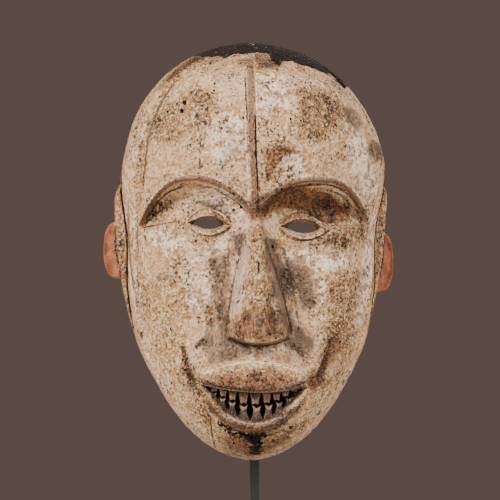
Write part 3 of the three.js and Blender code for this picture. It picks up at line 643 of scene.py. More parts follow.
def along(stations, place):
    """A smooth curve through a few stations, each a place and a value."""
    places, values = np.array(stations, float).T
    slopes = np.empty_like(values)
    slopes[1:-1] = (values[2:] - values[:-2]) / (places[2:] - places[:-2])
    slopes[[0, -1]] = (values[[1, -1]] - values[[0, -2]]) / (places[[1, -1]] - places[[0, -2]])
    i = np.clip(np.searchsorted(places, place, side="right") - 1, 0, len(places) - 2)
    span = places[i + 1] - places[i]
    t = np.clip((place - places[i]) / span, 0, 1)
    bend = mix(values[i], values[i + 1], t * t * (3 - 2 * t))
    return bend + span * (slopes[i] * t * (1 - t) ** 2 - slopes[i + 1] * t * t * (1 - t))


def egg_half_width(h):
    upper = np.clip((h - WIDEST_LEVEL) / (MASK_HEIGHT - WIDEST_LEVEL), 0, 1)
    lower = np.clip((WIDEST_LEVEL - h) / WIDEST_LEVEL, 0, 1)
    above = (1 - upper ** UPPER_ROUNDNESS) ** (1 / UPPER_ROUNDNESS)
    below = (1 - lower ** LOWER_ROUNDNESS) ** (1 / LOWER_ROUNDNESS)
    return HALF_WIDTH * np.minimum(above, below)


def bump(form, h):
    level, reach, size = form
    return size * np.exp(-(((h - level) / reach) ** 2))


def lean(h):
    return bump(LEAN, h)


def face_half_width(h):
    return np.maximum(egg_half_width(h) + bump(EDGE_PINCH, h) + bump(FULL_JAW, h), LEAST_HALF_WIDTH)


def edge_share(u, h):
    """How far out a place lies: 0 in the middle of the face, 1 at its edge."""
    return np.abs(u - lean(h)) / face_half_width(h)


def swelling(form, u, h):
    across, height, wide, tall, depth = form
    return depth * np.exp(-(((u - across) / wide) ** 2 + ((h - height) / tall) ** 2))


def head_depth(u, h):
    share = np.clip(edge_share(u, h), 0, 1)
    wall = along(WALL_PROFILE, h)
    rounded = (1 - share ** SECTION_WIDENESS) ** SECTION_FULLNESS
    swell = sum(swelling(form, u, h) for form in FACE_FORMS)
    return mix(wall, along(MIDDLE_PROFILE, h), rounded) + swell * (1 - share ** FORM_FADE)


def arch_at(arch, u):
    """Share of the way from an arch's turning point to its end, and its height, at a place across."""
    inner, turn, outer, bends = arch
    inside = np.abs(u) < abs(turn[0])
    end_across = np.where(inside, inner[0], outer[0])
    end_height = np.where(inside, inner[1], outer[1])
    share = (u - turn[0]) / (end_across - turn[0])
    bend = np.where(inside, bends[0], bends[1])
    return share, mix(turn[1], end_height, np.abs(share) ** bend)


def socket_depth(u, h):
    """How far the eye sockets lie below the head: deepest above the eye, with steps at their edges."""
    depth = np.zeros(np.shape(u))
    for side, brow, floor_line in ((-1, LEFT_BROW, LEFT_SOCKET_FLOOR), (1, RIGHT_BROW, RIGHT_SOCKET_FLOOR)):
        share, top = arch_at(brow, u)
        floor = along(floor_line, u)
        rise = (h - floor) / np.maximum(top - floor, 0.5)
        slope = 1 - (1 - SOCKET_STEP) * np.maximum(1 - rise / SOCKET_DEEPEST, 0) ** 2
        roof = 1 - SOCKET_ROOF * smooth(SOCKET_DEEPEST, 1, rise)
        fade = np.maximum(1 - np.clip(share, -1, 1) ** FORM_FADE, 0)
        edges = smooth(0, SOCKET_EDGE, top - h) * smooth(-SOCKET_EDGE / 2, SOCKET_EDGE / 2, h - floor)
        here = (share < 1) & (u * side > 0)
        depth += np.where(here, SOCKET_DEPTH * slope * roof * fade * edges, 0)
    return depth


def face_depth(u, h):
    return head_depth(u, h) - socket_depth(u, h)


def nose_rise(u, h):
    """How far the nose stands in front of the face."""
    t = np.clip((NOSE_TOP - h) / (NOSE_TOP - NOSE_FOOT), 0, 1)
    half = NOSE_HALF_WIDTH * mix(NOSE_TOP_SHARE, 1, t ** NOSE_SPREAD)
    x = np.abs(u - mix(*NOSE_MIDDLE, t)) / half
    foot = NOSE_FOOT - NOSE_DROP * (1 - np.clip(x, 0, 1) ** 2)
    tuck = NOSE_TUCK * smooth(foot + NOSE_TUCK_REACH, foot, h) ** 2
    front = mix(NOSE_TOP_DEPTH, NOSE_TIP_DEPTH, t) - tuck
    x = np.minimum(x, PAST_ENDS)
    upper, tip = along(NOSE_UPPER_SECTION, x), along(NOSE_TIP_SECTION, x)
    proud = (front - face_depth(u, h)) * mix(upper, tip, smooth(*NOSE_TIP_SPAN, t))
    lower_end = smooth(foot + NOSE_FOOT_FADE[0], foot + NOSE_FOOT_FADE[1], h)
    upper_end = smooth(NOSE_TOP + NOSE_TOP_FADE[0], NOSE_TOP + NOSE_TOP_FADE[1], h)
    return np.maximum(proud, 0) * (lower_end * upper_end)


def front_depth(u, h):
    return face_depth(u, h) + nose_rise(u, h)


def arc_height(arc, t):
    left, right, middle, power = arc
    bow = middle - (left[1] + right[1]) / 2
    return mix(left[1], right[1], t) + bow * (1 - np.abs(2 * t - 1) ** power)


def arc_points(arc, count):
    t = np.linspace(0, 1, count)
    return np.column_stack((mix(arc[0][0], arc[1][0], t), arc_height(arc, t)))


def corner_share(arc, u):
    """The share of the way from an arc's left corner to its right one, at a place across."""
    return (u - arc[0][0]) / (arc[1][0] - arc[0][0])


def arc_above(arc, u):
    return arc_height(arc, np.clip(corner_share(arc, u), 0, 1))


def between(edge, facing, count):
    """The outline between an edge and the one facing it, which share their corners."""
    return np.vstack((arc_points(edge, count), arc_points(facing, count)[-2:0:-1]))


def almond(middle, size, count=28):
    """An almond, from its left corner over the top to its right corner and back."""
    t = np.linspace(0, 1, count, endpoint=False)
    x = size[0] * (t - 0.5)
    y = size[1] / 2 * np.sin(np.pi * t) ** ALMOND_FULLNESS
    outline = np.vstack((np.column_stack((x, y)), np.column_stack((-x, -y))))
    outline[:, 1] += outline[:, 0] * LID_TILT
    return outline + middle


def nearest(route, points, reach):
    """Distance to a route and the share of the way along it, for the points within reach of it."""
    route = np.asarray(route, float)
    distance = np.full(len(points), float(FAR))
    share = np.zeros(len(points))
    low, high = route.min(0) - reach, route.max(0) + reach
    chosen = np.flatnonzero(((points > low) & (points < high)).all(1))
    best = distance[chosen]
    found = share[chosen]
    lengths = np.hypot(*np.diff(route, axis=0).T)
    starts = np.concatenate(([0], np.cumsum(lengths)))
    for start, a, b, length in zip(starts, route[:-1], route[1:], lengths):
        if length == 0:
            continue
        offset = points[chosen] - a
        t = np.clip(offset @ (b - a) / length, 0, length)
        gap = np.hypot(*(offset - t[:, None] * (b - a) / length).T)
        closer = gap < best
        best[closer] = gap[closer]
        found[closer] = (start + t[closer]) / starts[-1]
    distance[chosen] = best
    share[chosen] = found
    return distance, share


def inside(outline, points):
    hit = np.zeros(len(points), bool)
    x, y = points.T
    for (ax, ay), (bx, by) in zip(outline, np.roll(outline, -1, axis=0)):
        crosses = (ay > y) != (by > y)
        slope = (bx - ax) / (by - ay) if by != ay else 0
        hit ^= crosses & (x < ax + (y - ay) * slope)
    return hit


def depth_inside(outline, points, reach=8):
    """How far inside an outline each point lies, and less than nothing outside."""
    distance, _ = nearest(np.vstack((outline, outline[:1])), points, reach)
    return np.where(inside(outline, points), distance, -distance)


def band(route, half_width, points, shoulder=0.3, taper=0.04):
    """The section of a band along a route: 1 on its crest, and nothing beyond its edges and ends."""
    distance, share = nearest(route, points, half_width * 2)
    ends = smooth(0, taper, share) * smooth(1, 1 - taper, share)
    return (1 - smooth(shoulder, 1, distance / half_width)) * ends, share


def smooth_route(stations, count=40):
    """A smooth line through a few points."""
    stations = np.array(stations, float)
    steps = np.hypot(*np.diff(stations, axis=0).T)
    path = np.concatenate(([0], np.cumsum(steps)))
    places = np.linspace(0, path[-1], count)
    columns = [along(np.column_stack((path, stations[:, k])), places) for k in (0, 1)]
    return np.column_stack(columns)


def brow_route(brow):
    across = np.linspace(brow[0][0], brow[2][0], 90)
    return np.column_stack((across, arch_at(brow, across)[1]))


def groove_share(groove, points):
    """How fully a groove is cut at each point: at once on its inner edge, and dying away outwards."""
    u, h = points.T
    line = face_half_width(h) - along(groove["insets"], h)
    out = groove["side"] * (u - lean(h)) - line
    low, high = GROOVE_SPAN
    ends = smooth(low, low + GROOVE_ENDS[0], h) * smooth(high, high - GROOVE_ENDS[1], h)
    dying = smooth(*GROOVE_FADE, out / along(groove["widths"], h))
    return smooth(*GROOVE_STEP, out) * (1 - dying) * ends


def brow_relief(points):
    relief = np.zeros(len(points))
    first, full, fading, last = BROW_NOTCH_SPAN
    for brow, notch_depth in ((LEFT_BROW, BROW_NOTCH_DEPTH), (RIGHT_BROW, 0)):
        crest, share = band(brow_route(brow), BROW_HALF_WIDTH, points, 0.5, 0.03)
        notch = notch_depth * (0.5 + 0.5 * np.cos(share * 2 * np.pi * BROW_NOTCHES))
        where = smooth(first, full, share) * smooth(last, fading, share)
        relief = np.maximum(relief, crest * (BROW_RISE - notch * where))
    return relief


def rim_line(outline, half_width, points):
    """The section of a thin band along a closed outline."""
    distance, _ = nearest(np.vstack((outline, outline[:1])), points, half_width * 2)
    return 1 - smooth(0.2, 1, distance / half_width)


def lid_relief(points):
    relief = np.zeros(len(points))
    for eye in (LEFT_EYE, RIGHT_EYE):
        outline = almond(eye["middle"], eye["lid"])
        deep = depth_inside(outline, points)
        lid = LID_RISE * smooth(*LID_EDGE, deep)
        rim = mix(np.array(eye["middle"]), outline, LID_RIM_PLACE)
        relief = np.maximum(relief, lid + LID_RIM * rim_line(rim, 1, points))
    return relief


def upper_lip_relief(points):
    u, h = points.T
    low, top = arc_above(LIP_SAG, u), arc_above(LIP_TOP, u)
    share = np.clip((h - low) / np.maximum(top - low, LIP_LEAST_HEIGHT), -PAST_ENDS, PAST_ENDS)
    crest = LIP_CREST * np.exp(-(((h - top) / LIP_CREST_WIDTH) ** 2))
    rise = LIP_RISE * along(LIP_PROFILE, share) + crest
    t = corner_share(LIP_TOP, u)
    start, full, fading, end = LIP_CORNERS
    corners = smooth(start, full, t) * smooth(end, fading, t)
    return rise * (1 - smooth(0, LIP_BLEND, h - top)) * (1 - smooth(0, LIP_UNDERSIDE, low - h)) * corners


def lower_lip_relief(points):
    u, h = points.T
    outside = -depth_inside(between(OPENING_FLOOR, OPENING_ROOF, 60), points, 16)
    t = np.clip(corner_share(LIP_TOP, u), 0, 1)
    width = LOWER_LIP_WIDTHS[0] + LOWER_LIP_WIDTHS[1] * np.sin(np.pi * t)
    below = smooth(*LOWER_LIP_TOP, h - mix(LIP_TOP[0][1], LIP_TOP[1][1], t))
    share = np.clip(outside / width, -PAST_ENDS, PAST_ENDS)
    return LOWER_LIP_RISE * along(LOWER_LIP_PROFILE, share) * below


def lip_relief(points):
    upper, lower = upper_lip_relief(points), lower_lip_relief(points)
    return np.maximum(upper, lower) + np.minimum(lower, 0)


def cut_relief(points):
    relief = sum(groove["cut"] * groove_share(groove, points) for groove in (LEFT_GROOVE, RIGHT_GROOVE))
    for stations, half_width, cut in CUT_LINES:
        crest, _ = band(smooth_route(stations), half_width, points, CUT_SHOULDER, CUT_TAPER)
        relief += cut * crest
    return relief


def carved_relief(points):
    ridge, _ = band(smooth_route(RIDGE), RIDGE_HALF_WIDTH, points, 0.5, 0.02)
    raised = np.maximum.reduce([brow_relief(points), RIDGE_RISE * ridge, lid_relief(points)])
    return raised + lip_relief(points) - cut_relief(points)


def pit_list():
    """Small pits, scattered over their zones: across, height, radius and depth."""
    rng = np.random.default_rng(SEED)
    pits = []
    for across, height, wide, tall, count in PIT_ZONES:
        u = across + wide * rng.normal(size=count) * PIT_CROWDING
        h = height + tall * rng.normal(size=count) * PIT_CROWDING
        pits.append(np.column_stack((u, h, rng.uniform(*PIT_RADIUS, count), rng.uniform(*PIT_DEPTH, count))))
    return np.vstack(pits)


def pit_relief(points):
    """Depth of the pits at each point."""
    relief = np.zeros(len(points))
    order = np.argsort(points[:, 1], kind="stable")
    heights = points[order, 1]
    for u, h, radius, depth in pit_list():
        reach = 3 * radius * PIT_LENGTHENING
        low, high = np.searchsorted(heights, (h - reach, h + reach))
        near = order[low:high]
        x = (points[near, 0] - u) / radius
        y = (points[near, 1] - h) / (radius * PIT_LENGTHENING)
        relief[near] = np.maximum(relief[near], depth * np.exp(-(x * x + y * y)))
    return relief


def wobble(points, size, seed=0, octaves=3):
    """Soft noise between about -1 and 1, with features of a size in millimetres across, deep and high."""
    scaled = points / np.array(size, float) + seed
    return np.array([noise.fractal(Vector(p), 1.0, 2.0, octaves) for p in scaled])


def scoops(points, size, seed=0):
    """Marks of a gouge: hollow in the middle of each cell and raised between cells."""
    scaled = points / np.array(size, float) + seed
    return np.array([noise.voronoi(Vector(p))[0][0] for p in scaled]) - 0.45


def worked(points, marks):
    """The height of several kinds of marks, each with a strength, a size and a seed."""
    return sum(strength * kind(points, size, seed) for kind, strength, size, seed in marks)


FACE_MARKS = [(scoops, 0.4, (7, 7, 10), 0), (wobble, 0.35, (24, 24, 32), 0), (wobble, 0.28, (4, 4, 6), 0)]
HOLLOW_MARKS = [(scoops, 0.9, (9, 9, 17), 5), (wobble, 0.5, (22, 22, 30), 5)]


def in_frame(points):
    """Points of the mask, across, depth and height, in the frame's millimetres."""
    u, depth, h = points.T
    return np.column_stack((MASK_MIDDLE + u, BACK_PLANE - depth, CHIN_LEVEL + h))


def from_frame(points):
    x, y, z = points.T
    return np.column_stack((x - MASK_MIDDLE, BACK_PLANE - y, z - CHIN_LEVEL))


def skinned(rings):
    """Points and faces of a closed skin over closed rings, with a fan at each end."""
    rings = np.asarray(rings, float)
    rows, columns, _ = rings.shape
    points = np.vstack([rings.reshape(-1, 3), rings[0].mean(0), rings[-1].mean(0)])
    here = np.arange(columns)
    after = (here + 1) % columns
    start = columns * np.arange(rows - 1)[:, None]
    quads = np.stack([start + here, start + after, start + columns + after, start + columns + here], axis=-1)
    first = np.full(columns, rows * columns)
    last = first + 1
    head = columns * (rows - 1)
    fans = np.vstack([
        np.column_stack((after, here, first)),
        np.column_stack((head + here, head + after, last)),
    ])
    return points, quads.reshape(-1, 4).tolist() + fans.tolist()


def solid_object(name, parts):
    """One mesh object, in millimetres, from the points and faces of one or more closed skins."""
    offset = 0
    all_points, all_faces = [], []
    for points, faces in parts:
        all_points.append(in_frame(points))
        all_faces.extend([[i + offset for i in face] for face in faces])
        offset += len(points)
    mesh = bpy.data.meshes.new(name)
    mesh.from_pydata(np.vstack(all_points).tolist(), [], all_faces)
    shaped = bmesh.new()
    shaped.from_mesh(mesh)
    bmesh.ops.recalc_face_normals(shaped, faces=shaped.faces)
    shaped.to_mesh(mesh)
    shaped.free()
    made = bpy.data.objects.new(name, mesh)
    bpy.context.scene.collection.objects.link(made)
    return made


def settle(body, modifier):
    """Gives a body the mesh that its modifier makes, for good."""
    made = bpy.data.meshes.new_from_object(body.evaluated_get(bpy.context.evaluated_depsgraph_get()))
    body.modifiers.remove(modifier)
    old = body.data
    body.data = made
    bpy.data.meshes.remove(old)


def combine(body, tool, operation):
    """Joins a tool to a body, or cuts it out of the body, and uses the tool up."""
    modifier = body.modifiers.new("combine", "BOOLEAN")
    modifier.operation = operation
    modifier.solver = "MANIFOLD"
    modifier.object = tool
    settle(body, modifier)
    spent = tool.data
    bpy.data.objects.remove(tool)
    bpy.data.meshes.remove(spent)


def level_rows(count, closer):
    """Heights of the level slices: even along the outline, but for the closer rows."""
    fine = np.linspace(0, MASK_HEIGHT, LEVEL_STEPS)
    path = np.hypot(np.diff(fine), np.diff(face_half_width(fine)))
    middle = (fine[1:] + fine[:-1]) / 2
    crowd = 1 + sum(much * np.exp(-(((middle - level) / reach) ** 2)) for level, reach, much in closer)
    travelled = np.concatenate(([0], np.cumsum(path * crowd)))
    return np.interp(np.linspace(0, travelled[-1], count), travelled, fine)


def slice_columns(h, count, surface, back, crowded):
    """Places across, and depths, round one level slice: up a side wall, over the face and down the other."""
    half = face_half_width(h)
    wall = along(WALL_PROFILE, h)
    over = np.sin(np.linspace(np.pi / 2, -np.pi / 2, OVER_STEPS)) * half
    side = np.linspace(back, wall, SIDE_STEPS + 1)[:-1]
    edge = np.full(SIDE_STEPS, half)
    across = np.concatenate((edge, over, -edge)) + lean(h)
    depth = np.concatenate((side, surface(over + lean(h), np.full(OVER_STEPS, h)), side[::-1]))
    reach, much = crowded
    closer = 1 + much * np.exp(-((across / reach) ** 2))
    closer[:SIDE_STEPS] = WALL_SPACING
    closer[-SIDE_STEPS:] = WALL_SPACING
    path = np.hypot(np.diff(across), np.diff(depth)) * closer[1:]
    travelled = np.concatenate(([0], np.cumsum(path)))
    places = np.linspace(0, travelled[-1], count)
    return np.interp(places, travelled, across), np.interp(places, travelled, depth)


def skin_grid(rows, columns, surface, back, closer, crowded):
    """Across, depth and height of a grid over the head, row by row."""
    heights = level_rows(rows, closer)
    grid = np.empty((rows, columns, 3))
    for row, h in enumerate(heights):
        across, depth = slice_columns(h, columns, surface, back, crowded)
        grid[row, :, 0] = across
        grid[row, :, 1] = depth
        grid[row, :, 2] = h
    return grid


def outward(grid):
    """Normals of a grid over the head, pointing away from its inside."""
    normal = np.cross(np.gradient(grid, axis=1), np.gradient(grid, axis=0))
    normal = normal / np.maximum(np.linalg.norm(normal, axis=2, keepdims=True), 1e-9)
    middle = (grid.shape[0] // 2, grid.shape[1] // 2)
    return normal * np.sign(normal[middle][1])


def with_rim(ring):
    """A ring over the head, closed along the flat back by rows of the rim."""
    right, left = ring[0], ring[-1]
    half = (right[0] - left[0]) / 2
    insets = [inset for inset in RIM_INSETS if inset < half * 0.6] or [half * 0.5]
    insets += [insets[-1]] * (len(RIM_INSETS) - len(insets))
    steps = list(zip(insets, np.linspace(0, RIM_SPREAD, len(insets))))
    left_rim = [(left[0] + inset + extra, 0, left[2]) for inset, extra in steps]
    right_rim = [(right[0] - inset - extra, 0, right[2]) for inset, extra in steps[::-1]]
    return np.vstack((ring, left_rim, right_rim))


def outer_block():
    """The head with its carving, before the hollow, the eyes and the mouth are cut."""
    grid = skin_grid(*OUTER_GRID, head_depth, 0, CLOSER_ROWS, CLOSER_COLUMNS)
    flat = grid.reshape(-1, 3)
    wall = along(WALL_PROFILE, flat[:, 2])
    on_face = smooth(wall + FACE_EDGE[0], wall + FACE_EDGE[1], flat[:, 1])
    points = flat[:, [0, 2]]
    normal = outward(grid).reshape(-1, 3)
    shaped = flat.copy()
    shaped[:, 1] += on_face * (nose_rise(*points.T) - socket_depth(*points.T))
    shaped += normal * (carved_relief(points) * on_face)[:, None]
    fine_normal = outward(shaped.reshape(grid.shape)).reshape(-1, 3)
    clear_of_back = smooth(*MARKED_DEPTHS, flat[:, 1])
    marks = (worked(flat, FACE_MARKS) - pit_relief(points) * on_face) * clear_of_back
    shaped += fine_normal * marks[:, None]
    shaped[:, 1] = np.maximum(shaped[:, 1], 0)
    rings = [with_rim(ring) for ring in shaped.reshape(grid.shape)]
    return solid_object("mask_carving", [skinned(rings)])


def hollow_surface(u, h):
    backing = swelling(MOUTH_BACKING, u, h) + EYE_BACKING * socket_depth(u, h)
    return head_depth(u, h) - FRONT_WALL - backing


def hollow_tool():
    """The hollow, worked with a gouge."""
    grid = skin_grid(*HOLLOW_GRID, hollow_surface, PAST_BACK, [], HOLLOW_COLUMNS)
    flat = grid.reshape(-1, 3)
    normal = outward(grid).reshape(-1, 3)
    clear_of_back = smooth(*HOLLOW_MARKED_DEPTHS, flat[:, 1])
    inner = flat - normal * (worked(flat, HOLLOW_MARKS) * clear_of_back)[:, None]
    inner[:, 0] *= HOLLOW_SCALE
    inner[:, 2] = mix(MASK_HEIGHT / 2, inner[:, 2], HOLLOW_SCALE)
    return solid_object("hollow", [skinned(inner.reshape(grid.shape))])


def above(surface, u, h, rise):
    """Points that stand a little above a surface, square to it."""
    step = SLOPE_STEP
    slope = (surface(u + step, h) - surface(u - step, h)) / (2 * step)
    tilt = (surface(u, h + step) - surface(u, h - step)) / (2 * step)
    unit = rise / np.sqrt(slope ** 2 + tilt ** 2 + 1)
    return np.column_stack((u - slope * unit, surface(u, h) + unit, h - tilt * unit))


def pad(outline, middle, layers, surface):
    """A form over a surface: its outline, drawn in towards its middle at each rise."""
    rings = []
    for rise, scale in layers:
        drawn = np.asarray(middle) + (outline - middle) * scale
        rings.append(above(surface, drawn[:, 0], drawn[:, 1], rise))
    return skinned(rings)


def stacked(outline, middle, layers):
    """Rings of an outline, one over the other: each has a depth and a scale towards the middle."""
    rings = []
    for depth, scale in layers:
        drawn = middle + (outline - middle) * scale
        rings.append(np.column_stack((drawn[:, 0], np.full(len(drawn), depth), drawn[:, 1])))
    return np.array(rings)


def eye_tool(eye):
    level = face_depth(*[np.array([v], float) for v in eye["middle"]])[0]
    outline = almond(eye["middle"], eye["slit"])
    return pad(outline, eye["middle"], SLIT_CUT, lambda u, h: np.full_like(u, level))


def mouth_tool():
    return pad(between(OPENING_FLOOR, OPENING_ROOF, 60), OPENING_MIDDLE, MOUTH_CUT, face_depth)


def crack_tool():
    """The drying crack in the chin: a thin wedge that narrows towards its ends."""
    route = smooth_route(CHIN_CRACK, CRACK_STEPS)
    swell = np.sin(np.pi * np.linspace(0.06, 0.94, CRACK_STEPS))
    widths = CRACK_WIDTH * swell ** 0.7 + CRACK_LEAST_WIDTH
    jitter = CRACK_JITTER * np.sin(np.arange(CRACK_STEPS) * 2.1)
    left = route - np.column_stack((widths - jitter, np.zeros(CRACK_STEPS)))
    right = (route + np.column_stack((widths + jitter, np.zeros(CRACK_STEPS))))[::-1]
    outline = np.vstack((left, right))
    return skinned([above(head_depth, outline[:, 0], outline[:, 1], rise) for rise in CRACK_RISES])


def hole_tools():
    """Worm holes, as short upright-oval drills."""
    turn = np.linspace(0, 2 * np.pi, HOLE_SIDES + 1)[:-1]
    tools = []
    for u, h, radius in HOLES:
        middle = np.array([u, h])
        outline = middle + radius * np.column_stack((np.cos(turn), HOLE_TALLNESS * np.sin(turn)))
        base = front_depth(*middle[:, None])[0] + carved_relief(middle[None])[0]
        tools.append(skinned(stacked(outline, 0, [(base + rise, 1) for rise in HOLE_RISES])))
    return tools


def rounded(corners, count):
    """An outline with points between its corners."""
    corners = np.array(corners, float)
    after = np.roll(corners, -1, axis=0)
    shares = np.arange(count) / count
    return np.vstack([a + (b - a) * shares[:, None] for a, b in zip(corners, after)])


def half_spacing(places):
    """Half the way from each tooth to the nearer of its neighbours."""
    steps = np.diff(places)
    return TOOTH_FILL / 2 * np.minimum(np.append(steps[0], steps), np.append(steps, steps[-1]))


def tooth(shape, across, half, root, point):
    outline = rounded([(across + x * half, mix(root, point, t)) for x, t in shape], 3)
    middle = outline.mean(0)
    level = face_depth(*middle[:, None])[0]
    stations = [
        (-OPENING_DEPTH - TOOTH_ROOT, 1.0), (TOOTH_MIDDLE, 1.0), (TOOTH_FRONT - 0.8, 0.98),
        (TOOTH_FRONT - 0.2, 0.84), (TOOTH_FRONT + 0.3, 0.45),
    ]
    return skinned(stacked(outline, middle, [(level + rise, scale) for rise, scale in stations]))


def teeth():
    made = []
    halves = zip(half_spacing(UPPER_TEETH), half_spacing(LOWER_TEETH))
    for upper, lower, (upper_half, lower_half) in zip(UPPER_TEETH, LOWER_TEETH, halves):
        across = (upper + lower) / 2
        roof, floor = arc_above(OPENING_ROOF, across), arc_above(OPENING_FLOOR, across)
        meeting = mix(floor, roof, TEETH_MEETING) + TEETH_UNEVEN * math.sin(across)
        made.append(tooth(UPPER_TOOTH, upper, upper_half, roof + TOOTH_ROOT, meeting + TEETH_GAP))
        made.append(tooth(LOWER_TOOTH, lower, lower_half, floor - TOOTH_ROOT, meeting - TEETH_GAP))
    return made


def flange_section(line, inner, outer):
    """The section of the strip beside the face, from its root round its outside and back: out and depth."""
    back, front = FLANGE_DEPTHS
    return [
        (inner, front - 3), (line - 0.2, front - 3), (line + 0.6, front - 2.6), (line + 1.6, front - 0.3),
        (mix(line, outer, 0.45), front), (mix(line, outer, 0.7), front - 0.1), (outer - 1, front - 0.5),
        (outer - 0.2, front - 1.6), (outer, front - 4), (outer, 28), (outer, 22), (outer, 16),
        (outer - 0.2, back + 2), (outer - 1.2, back), (line - 1, back), (inner, back),
    ]


def flange(side):
    """The rough strip along a side of the face, with a groove where it meets the face."""
    low, high = FLANGE_SPAN
    back = FLANGE_DEPTHS[0]
    rings = []
    for h in np.linspace(low, high, FLANGE_ROWS):
        tip = FLANGE_TIP[1] * smooth(high - FLANGE_TIP[0], high, h)
        line = face_half_width(h)
        section = flange_section(line, line - FLANGE_ROOT, egg_half_width(h) + FLANGE_PROUD - tip)
        rings.append([(lean(h) + side * x, depth, h) for x, depth in section])
    flat = np.array(rings).reshape(-1, 3)
    rough = worked(flat, [(wobble, 0.75, (5, 5, 7), 9 * side), (scoops, 0.35, (4, 4, 6), 3)])
    outer_face = smooth(0, 3, np.abs(flat[:, 0] - lean(flat[:, 2])) - face_half_width(flat[:, 2]))
    flat[:, 0] -= side * np.abs(rough) * outer_face
    flat[:, 1] += rough * outer_face * smooth(back, back + 8, flat[:, 1])
    return skinned(flat.reshape(FLANGE_ROWS, -1, 3))


def ear(side, height, tall, reach):
    """An ear: a flat lobe with a worn edge."""
    angle = np.pi * (np.linspace(0, 1, EAR_STEPS) - 0.5)
    out = mix(EAR_ROOT, reach, np.maximum(np.cos(angle), 0) ** EAR_FULLNESS)
    outline = np.column_stack((side * out, height + tall / 2 * np.sin(angle)))
    middle = np.array([side * (reach - EAR_MIDDLE), height])
    back = EAR_FRONT - EAR_THICKNESS
    rings = stacked(outline, middle, [
        (back, 0.97), (back + 3, 1), (EAR_FRONT - 7, 1), (EAR_FRONT - 3, 1), (EAR_FRONT - 1, 0.99),
        (EAR_FRONT, 0.95), (EAR_FRONT - 0.1, 0.88), (EAR_FRONT - 0.8, 0.8), (EAR_FRONT - 1, 0.5),
    ])
    worn = wobble(rings[1:].reshape(-1, 3), (6, 6, 8), 4 * side, 2)
    rings[1:, :, 1] += EAR_WEAR * worn.reshape(rings[1:, :, 1].shape)
    return skinned(rings)


def thin_out(body, most):
    """Merges the smallest triangles until no more than a number of them are left."""
    body.data.calc_loop_triangles()
    modifier = body.modifiers.new("thin_out", "DECIMATE")
    modifier.ratio = min(1, most / len(body.data.loop_triangles))
    settle(body, modifier)


def carve_mask():
    body = outer_block()
    for side_ear in EARS:
        combine(body, solid_object("flange", [flange(side_ear[0])]), "UNION")
        combine(body, solid_object("ear", [ear(*side_ear)]), "UNION")
    combine(body, solid_object("mouth", [mouth_tool()]), "DIFFERENCE")
    combine(body, solid_object("teeth", teeth()), "UNION")
    combine(body, hollow_tool(), "DIFFERENCE")
    cuts = [eye_tool(LEFT_EYE), eye_tool(RIGHT_EYE), crack_tool()] + hole_tools()
    combine(body, solid_object("cuts", cuts), "DIFFERENCE")
    thin_out(body, MOST_TRIANGLES)
    return body


def vertex_places(mesh):
    flat = np.empty(len(mesh.vertices) * 3, np.float32)
    mesh.vertices.foreach_get("co", flat)
    return flat.reshape(-1, 3).astype(float)


def hollowness(mesh, places, rounds):
    """How far each point lies below the smoothed surface, in millimetres: creases above 0, edges below."""
    edges = np.empty(len(mesh.edges) * 2, np.int32)
    mesh.edges.foreach_get("vertices", edges)
    a, b = edges.reshape(-1, 2).T
    count = np.bincount(a, minlength=len(places)) + np.bincount(b, minlength=len(places))
    soft = places.copy()
    for _ in range(rounds):
        gathered = np.empty_like(soft)
        for k in range(3):
            total = np.bincount(a, soft[b, k], len(places)) + np.bincount(b, soft[a, k], len(places))
            gathered[:, k] = total / np.maximum(count, 1)
        soft = soft + SMOOTHING * (gathered - soft)
    normals = np.empty(len(places) * 3, np.float32)
    mesh.vertex_normals.foreach_get("vector", normals)
    return ((soft - places) * normals.reshape(-1, 3)).sum(1)


def zones(marks, points):
    """Strength of a set of zones at each point, fading softly over their outlines."""
    strength = np.zeros(len(points))
    for much, outline in marks:
        outline = np.array(outline, float)
        low, high = outline.min(0) - ZONE_SOFTNESS, outline.max(0) + ZONE_SOFTNESS
        near = np.flatnonzero(((points > low) & (points < high)).all(1))
        deep = depth_inside(outline, points[near], ZONE_SOFTNESS)
        zone = much * smooth(-ZONE_SOFTNESS, ZONE_SOFTNESS, deep)
        strength[near] = np.maximum(strength[near], zone) + ZONE_OVERLAP * np.minimum(strength[near], zone)
    return strength


def painted(lines, points):
    """Strength of a set of painted lines at each point."""
    strength = np.zeros(len(points))
    for much, half_width, stations in lines:
        line, _ = band(smooth_route(stations), half_width, points, 0.3, 0.08)
        strength = np.maximum(strength, much * line)
    return strength


def within_hollow(u, h):
    """1 within the outline of the hollow as seen from behind, and 0 outside it."""
    level = mix(MASK_HEIGHT / 2, h, 1 / HOLLOW_SCALE)
    beyond = np.abs(u - lean(level) * HOLLOW_SCALE) - face_half_width(level) * HOLLOW_SCALE
    return smooth(3.5, 2, beyond) * ((level > -1) & (level < MASK_HEIGHT + 1))


def hair_share(u, depth, h):
    """The blackened hair: above its edge, and running down and outwards towards the back of the crown."""
    distance, _ = nearest(smooth_route(HAIR_BAND), np.column_stack((u, h)), 40)
    crown = smooth(*HAIR_DEPTHS, depth)
    above_band = h > np.interp(u, *np.array(HAIR_BAND, float).T) - HAIR_DROP * crown
    smudge = HAIR_SMUDGE * np.exp(-((distance / HAIR_SMUDGE_WIDTH) ** 2))
    hair = np.where(above_band, 1.0, smudge)
    spread = HAIR_SPREAD * crown
    left = smooth(HAIR_LEFT[0] - spread, HAIR_LEFT[1] - spread, u)
    return hair * left * smooth(HAIR_RIGHT[0] + spread, HAIR_RIGHT[1] + spread, u)


